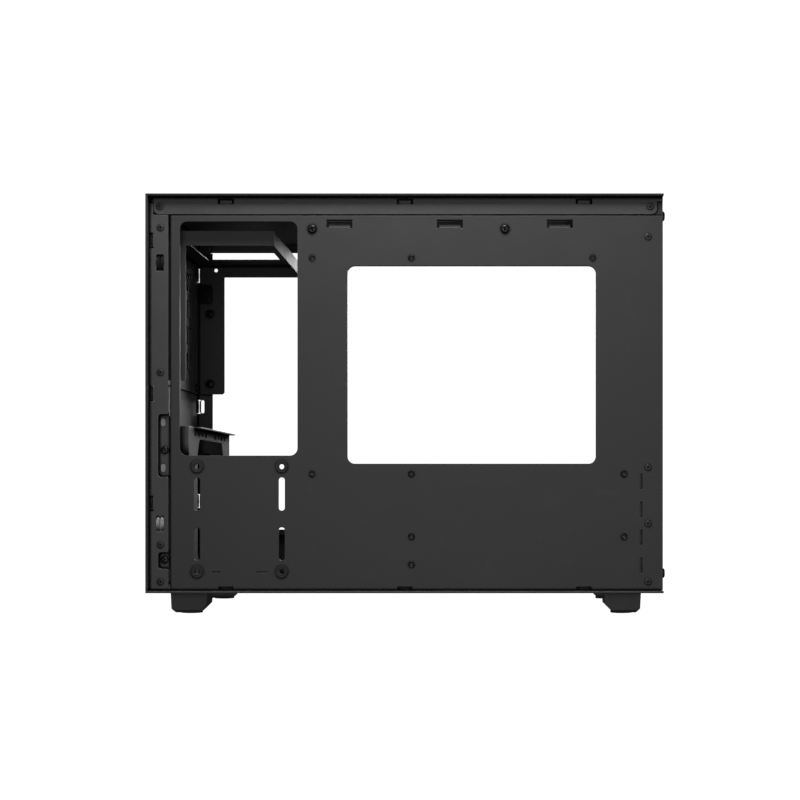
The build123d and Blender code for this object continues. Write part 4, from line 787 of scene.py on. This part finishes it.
def makeCatch(node, material, facts):
    low, high = [Vector(point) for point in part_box(node)]
    way = 1 if low.x > 0 else -1
    far = high.x if way > 0 else low.x
    shells = [corners(points) for points in solidsOf(node)]
    middle = (shells[0][0] + shells[0][1]) / 2
    build = bmesh.new()
    plate = far - way * facts["plateDepth"]
    leaf = (high.y - low.y) * facts["leaf"]
    for side in (-1, 1):
        inner = middle.y + side * facts["slit"]
        outer = inner + side * leaf
        drawLeaf(build, plate + way * facts["plate"] / 2, far, min(inner, outer), max(inner, outer),
                 middle.z, (high.z - low.z) * facts["reach"], facts)
    first, second = sorted((plate, plate + way * facts["plate"]))
    drawBlock(build, (first, low.y, low.z), (second, high.y, high.z), facts["plateEdge"])
    deep = low.x if way > 0 else high.x
    first, second = sorted((deep, plate))
    across, along = facts["stub"]
    drawBlock(build, (first, middle.y - across, middle.z - along),
              (second, middle.y + across, middle.z + along), facts["stubEdge"])
    finishPiece(node + "Bent", build, material or finishes["spring_steel"], node, node)


for node, material in catches["nodes"].items():
    makeCatch(node, material, catches)
print("catches bent")


# Mouldings and small pressings with their corners broken
softPieces = {
    "foot_front_left": 0.7 * mm, "foot_front_right": 0.7 * mm, "foot_rear_left": 0.7 * mm,
    "foot_rear_right": 0.7 * mm, "foot_pads": 0.4 * mm, "front_panel_clips": 0.25 * mm,
    "housing_pegs": 0.15 * mm, "port_housing": 0.3 * mm, "port_board": 0.12 * mm,
    "power_button": 0.35 * mm, "reset_button": 0.3 * mm, "power_plunger": 0.25 * mm,
    "reset_plunger": 0.25 * mm, "power_switch": 0.3 * mm, "reset_switch": 0.3 * mm,
    "power_light": 0.3 * mm, "power_inlet": 0.5 * mm, "inlet_pins": 0.35 * mm, "audio_jack": 0.2 * mm,
    "usb_port_lower": 0.12 * mm, "usb_port_upper": 0.12 * mm, "usb_c_port": 0.15 * mm,
}
# The clips take a darker copy of the black plastic: painted shade in their notches
clipShadedPlastic = makeMouldedPlastic("clipShadedPlastic", mouldedPlastic, 0.3)
for node, width in softPieces.items():
    softened(node, width, softening, clipShadedPlastic if node == "front_panel_clips" else None)
print("mouldings softened")


# Contacts on the tongues of the two wide ports
contacts = {
    "count": 4, "pitch": 2.4 * mm, "wide": 1.1 * mm, "proud": 0.09 * mm, "setBack": 1.6 * mm,
    "long": 5.5 * mm, "tongueFace": 0.4 * mm, "edge": 0.03 * mm,
}


def makeContacts(node, facts):
    low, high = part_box(node)
    x = (low[0] + high[0]) / 2 + facts["tongueFace"]
    z = (low[2] + high[2]) / 2
    mouth = low[1] + facts["setBack"]
    half = facts["wide"] / 2
    build = bmesh.new()
    for number in range(facts["count"]):
        centre = z + (number - (facts["count"] - 1) / 2) * facts["pitch"]
        drawBlock(build, (x - facts["proud"], mouth, centre - half),
                  (x + facts["proud"], mouth + facts["long"], centre + half), facts["edge"])
    piece = finishPiece(node + "Contacts", build, finishes["pin_brass"], node)


for node in ("usb_port_upper", "usb_port_lower"):
    makeContacts(node, contacts)
print("port contacts laid")


# What is soldered to the back of the port board, in mm: a lead socket, chips, small parts and joints
boardParts = {
    "socket": (3.4, 9.6, 2.0), "socketRise": 30.0, "socketEdge": 0.25,
    "chips": [(0.0, 58.0, 4.0, 4.0), (1.2, 70.0, 2.6, 3.2)], "chipProud": 0.9, "chipEdge": 0.12,
    "smallParts": 9, "smallSize": (1.0, 0.55, 0.5), "smallEdge": 0.1, "smallColumns": (2.4, -2.6),
    "firstSmall": 44.0, "nextSmall": 4.6,
    "jointRows": [8.0, 20.0, 38.0, 90.0], "jointColumns": [-1.5, -0.5, 0.5, 1.5], "jointPitch": 1.7,
    "joint": [(0.7, 0.0), (0.45, 0.25), (0.2, 0.6), (0.0, 0.7)], "jointSides": 12, "jointSunk": 0.05,
}


def makeBoardParts(facts):
    low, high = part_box("port_board")
    x = (low[0] + high[0]) / 2
    y = high[1]
    build = bmesh.new()
    wide, tall, deep = (size * mm for size in facts["socket"])
    z = low[2] + facts["socketRise"] * mm
    drawBlock(build, (x - wide / 2, y, z - tall / 2), (x + wide / 2, y + deep, z + tall / 2),
              facts["socketEdge"] * mm)
    for across, rise, chipWide, chipTall in facts["chips"]:
        z = low[2] + rise * mm
        drawBlock(build, (x + (across - chipWide / 2) * mm, y, z - chipTall / 2 * mm),
                  (x + (across + chipWide / 2) * mm, y + facts["chipProud"] * mm, z + chipTall / 2 * mm),
                  facts["chipEdge"] * mm)
    long, small, proud = (size * mm for size in facts["smallSize"])
    for number in range(facts["smallParts"]):
        across = facts["smallColumns"][number % 2] * mm
        z = low[2] + (facts["firstSmall"] + number * facts["nextSmall"]) * mm
        drawBlock(build, (x + across - small, y, z - long), (x + across + small, y + proud, z + long),
                  facts["smallEdge"] * mm)
    chips = finishPiece("portBoardParts", build, finishes["black_plastic"], "port_board")
    build = bmesh.new()
    sides = facts["jointSides"]
    profile = [(wide * mm, tall * mm) for wide, tall in facts["joint"]]
    for rise in facts["jointRows"]:
        for column in facts["jointColumns"]:
            point = (x + column * facts["jointPitch"] * mm, y, low[2] + rise * mm)
            seat = seatOn(point, (0, 1, 0))
            turned(build, seat, profile, sides)
            joinRings(build, drawRing(build, seat, profile[0][0], 0.0, sides),
                      drawRing(build, seat, 0, -facts["jointSunk"] * mm, sides))
    joints = finishPiece("portBoardJoints", build, solderTin, "port_board")


makeBoardParts(boardParts)
print("port board filled")


# Pale floor and plain soft light. The floor has a light of its own, so that it stays evenly white.
studio = {
    "backdrop": 1.12, "fill": 0.07,
    "floor": {"low": 0.90, "high": 0.92, "rough": (0.85, 0.90), "cloud": 0.6, "span": 14.0},
    "floorSun": {"strength": 3.9, "angle": 20.0, "place": (0, 0, 3)},
    "lamps": {
        "overhead": {"place": (0.40, 0.0, 0.72), "aim": (0.10, 0.0, 0.25), "size": 0.35, "power": 5.4},
        "openSide": {"place": (-1.5, 0.20, 0.70), "aim": (0.0, 0.0, 0.10), "size": 0.8, "power": 13.0},
        "frontSide": {"place": (0.0, -1.9, 0.45), "aim": (0.0, 0.0, 0.15), "size": 1.0, "power": 9.0},
        "rearSide": {"place": (0.0, 1.9, 0.45), "aim": (0.0, 0.0, 0.12), "size": 1.0, "power": 8.0},
        "cameraSide": {"place": (1.9, 0.08, 0.12), "aim": (0.0, 0.0, 0.05), "size": 1.3, "power": 9.2},
    },
}


def makeFloor(facts):
    mesh = bpy.data.meshes.new("floor")
    half = facts["span"] / 2
    edge = [(-half, -half, 0), (half, -half, 0), (half, half, 0), (-half, half, 0)]
    mesh.from_pydata(edge, [], [(0, 1, 2, 3)])
    floor = bpy.data.objects.new("floor", mesh)
    bpy.context.scene.collection.objects.link(floor)
    finish = Finish("paleFloor")
    cloud = finish.noise(facts["cloud"], 2.0, 0.5)
    finish.set(
        colour=finish.mixColours(finish.spread(cloud, 0.3, 0.7), grey(facts["low"]), grey(facts["high"])),
        rough=finish.spread(cloud, 0.3, 0.7, facts["rough"][0], facts["rough"][1]))
    floor.data.materials.append(finish.material)
    floor.visible_diffuse = False
    floor.visible_glossy = False
    floor.visible_shadow = False
    return floor


def addLamp(name, kind, energy, place, lit, shaded=None):
    data = bpy.data.lights.new(name, kind)
    data.energy = energy
    lamp = bpy.data.objects.new(name, data)
    bpy.context.scene.collection.objects.link(lamp)
    lamp.location = place
    lamp.visible_camera = False
    lamp.light_linking.receiver_collection = lit
    if shaded:
        lamp.light_linking.blocker_collection = shaded
    return lamp


def makeLamp(name, facts, lit):
    lamp = addLamp(name, "AREA", facts["power"], facts["place"], lit)
    lamp.data.shape = "DISK"
    lamp.data.size = facts["size"]
    way = Vector(facts["aim"]) - Vector(facts["place"])
    lamp.rotation_euler = way.to_track_quat("-Z", "Y").to_euler()


# The sky is brighter to the camera than it is as a light.
def makeSky(backdrop, fill):
    world = bpy.data.worlds.new("studio")
    world.use_nodes = True
    tree = world.node_tree
    sky = tree.nodes["Background"]
    sky.inputs["Color"].default_value = (1.0, 1.0, 1.0, 1.0)
    path = tree.nodes.new("ShaderNodeLightPath")
    level = tree.nodes.new("ShaderNodeMapRange")
    level.inputs["To Min"].default_value = fill
    level.inputs["To Max"].default_value = backdrop
    tree.links.new(path.outputs["Is Camera Ray"], level.inputs["Value"])
    tree.links.new(level.outputs["Result"], sky.inputs["Strength"])
    bpy.context.scene.world = world


objectLit = bpy.data.collections.new("objectLit")
for body in bpy.context.scene.objects:
    if body.type == "MESH":
        objectLit.objects.link(body)
floorLit = bpy.data.collections.new("floorLit")
floorLit.objects.link(makeFloor(studio["floor"]))
makeSky(studio["backdrop"], studio["fill"])
sunFacts = studio["floorSun"]
sun = addLamp("floorSun", "SUN", sunFacts["strength"], sunFacts["place"], floorLit, floorLit)
sun.data.angle = math.radians(sunFacts["angle"])
for name, lampFacts in studio["lamps"].items():
    makeLamp(name, lampFacts, objectLit)
bpy.context.scene.view_settings.view_transform = "Standard"
print("studio lit")
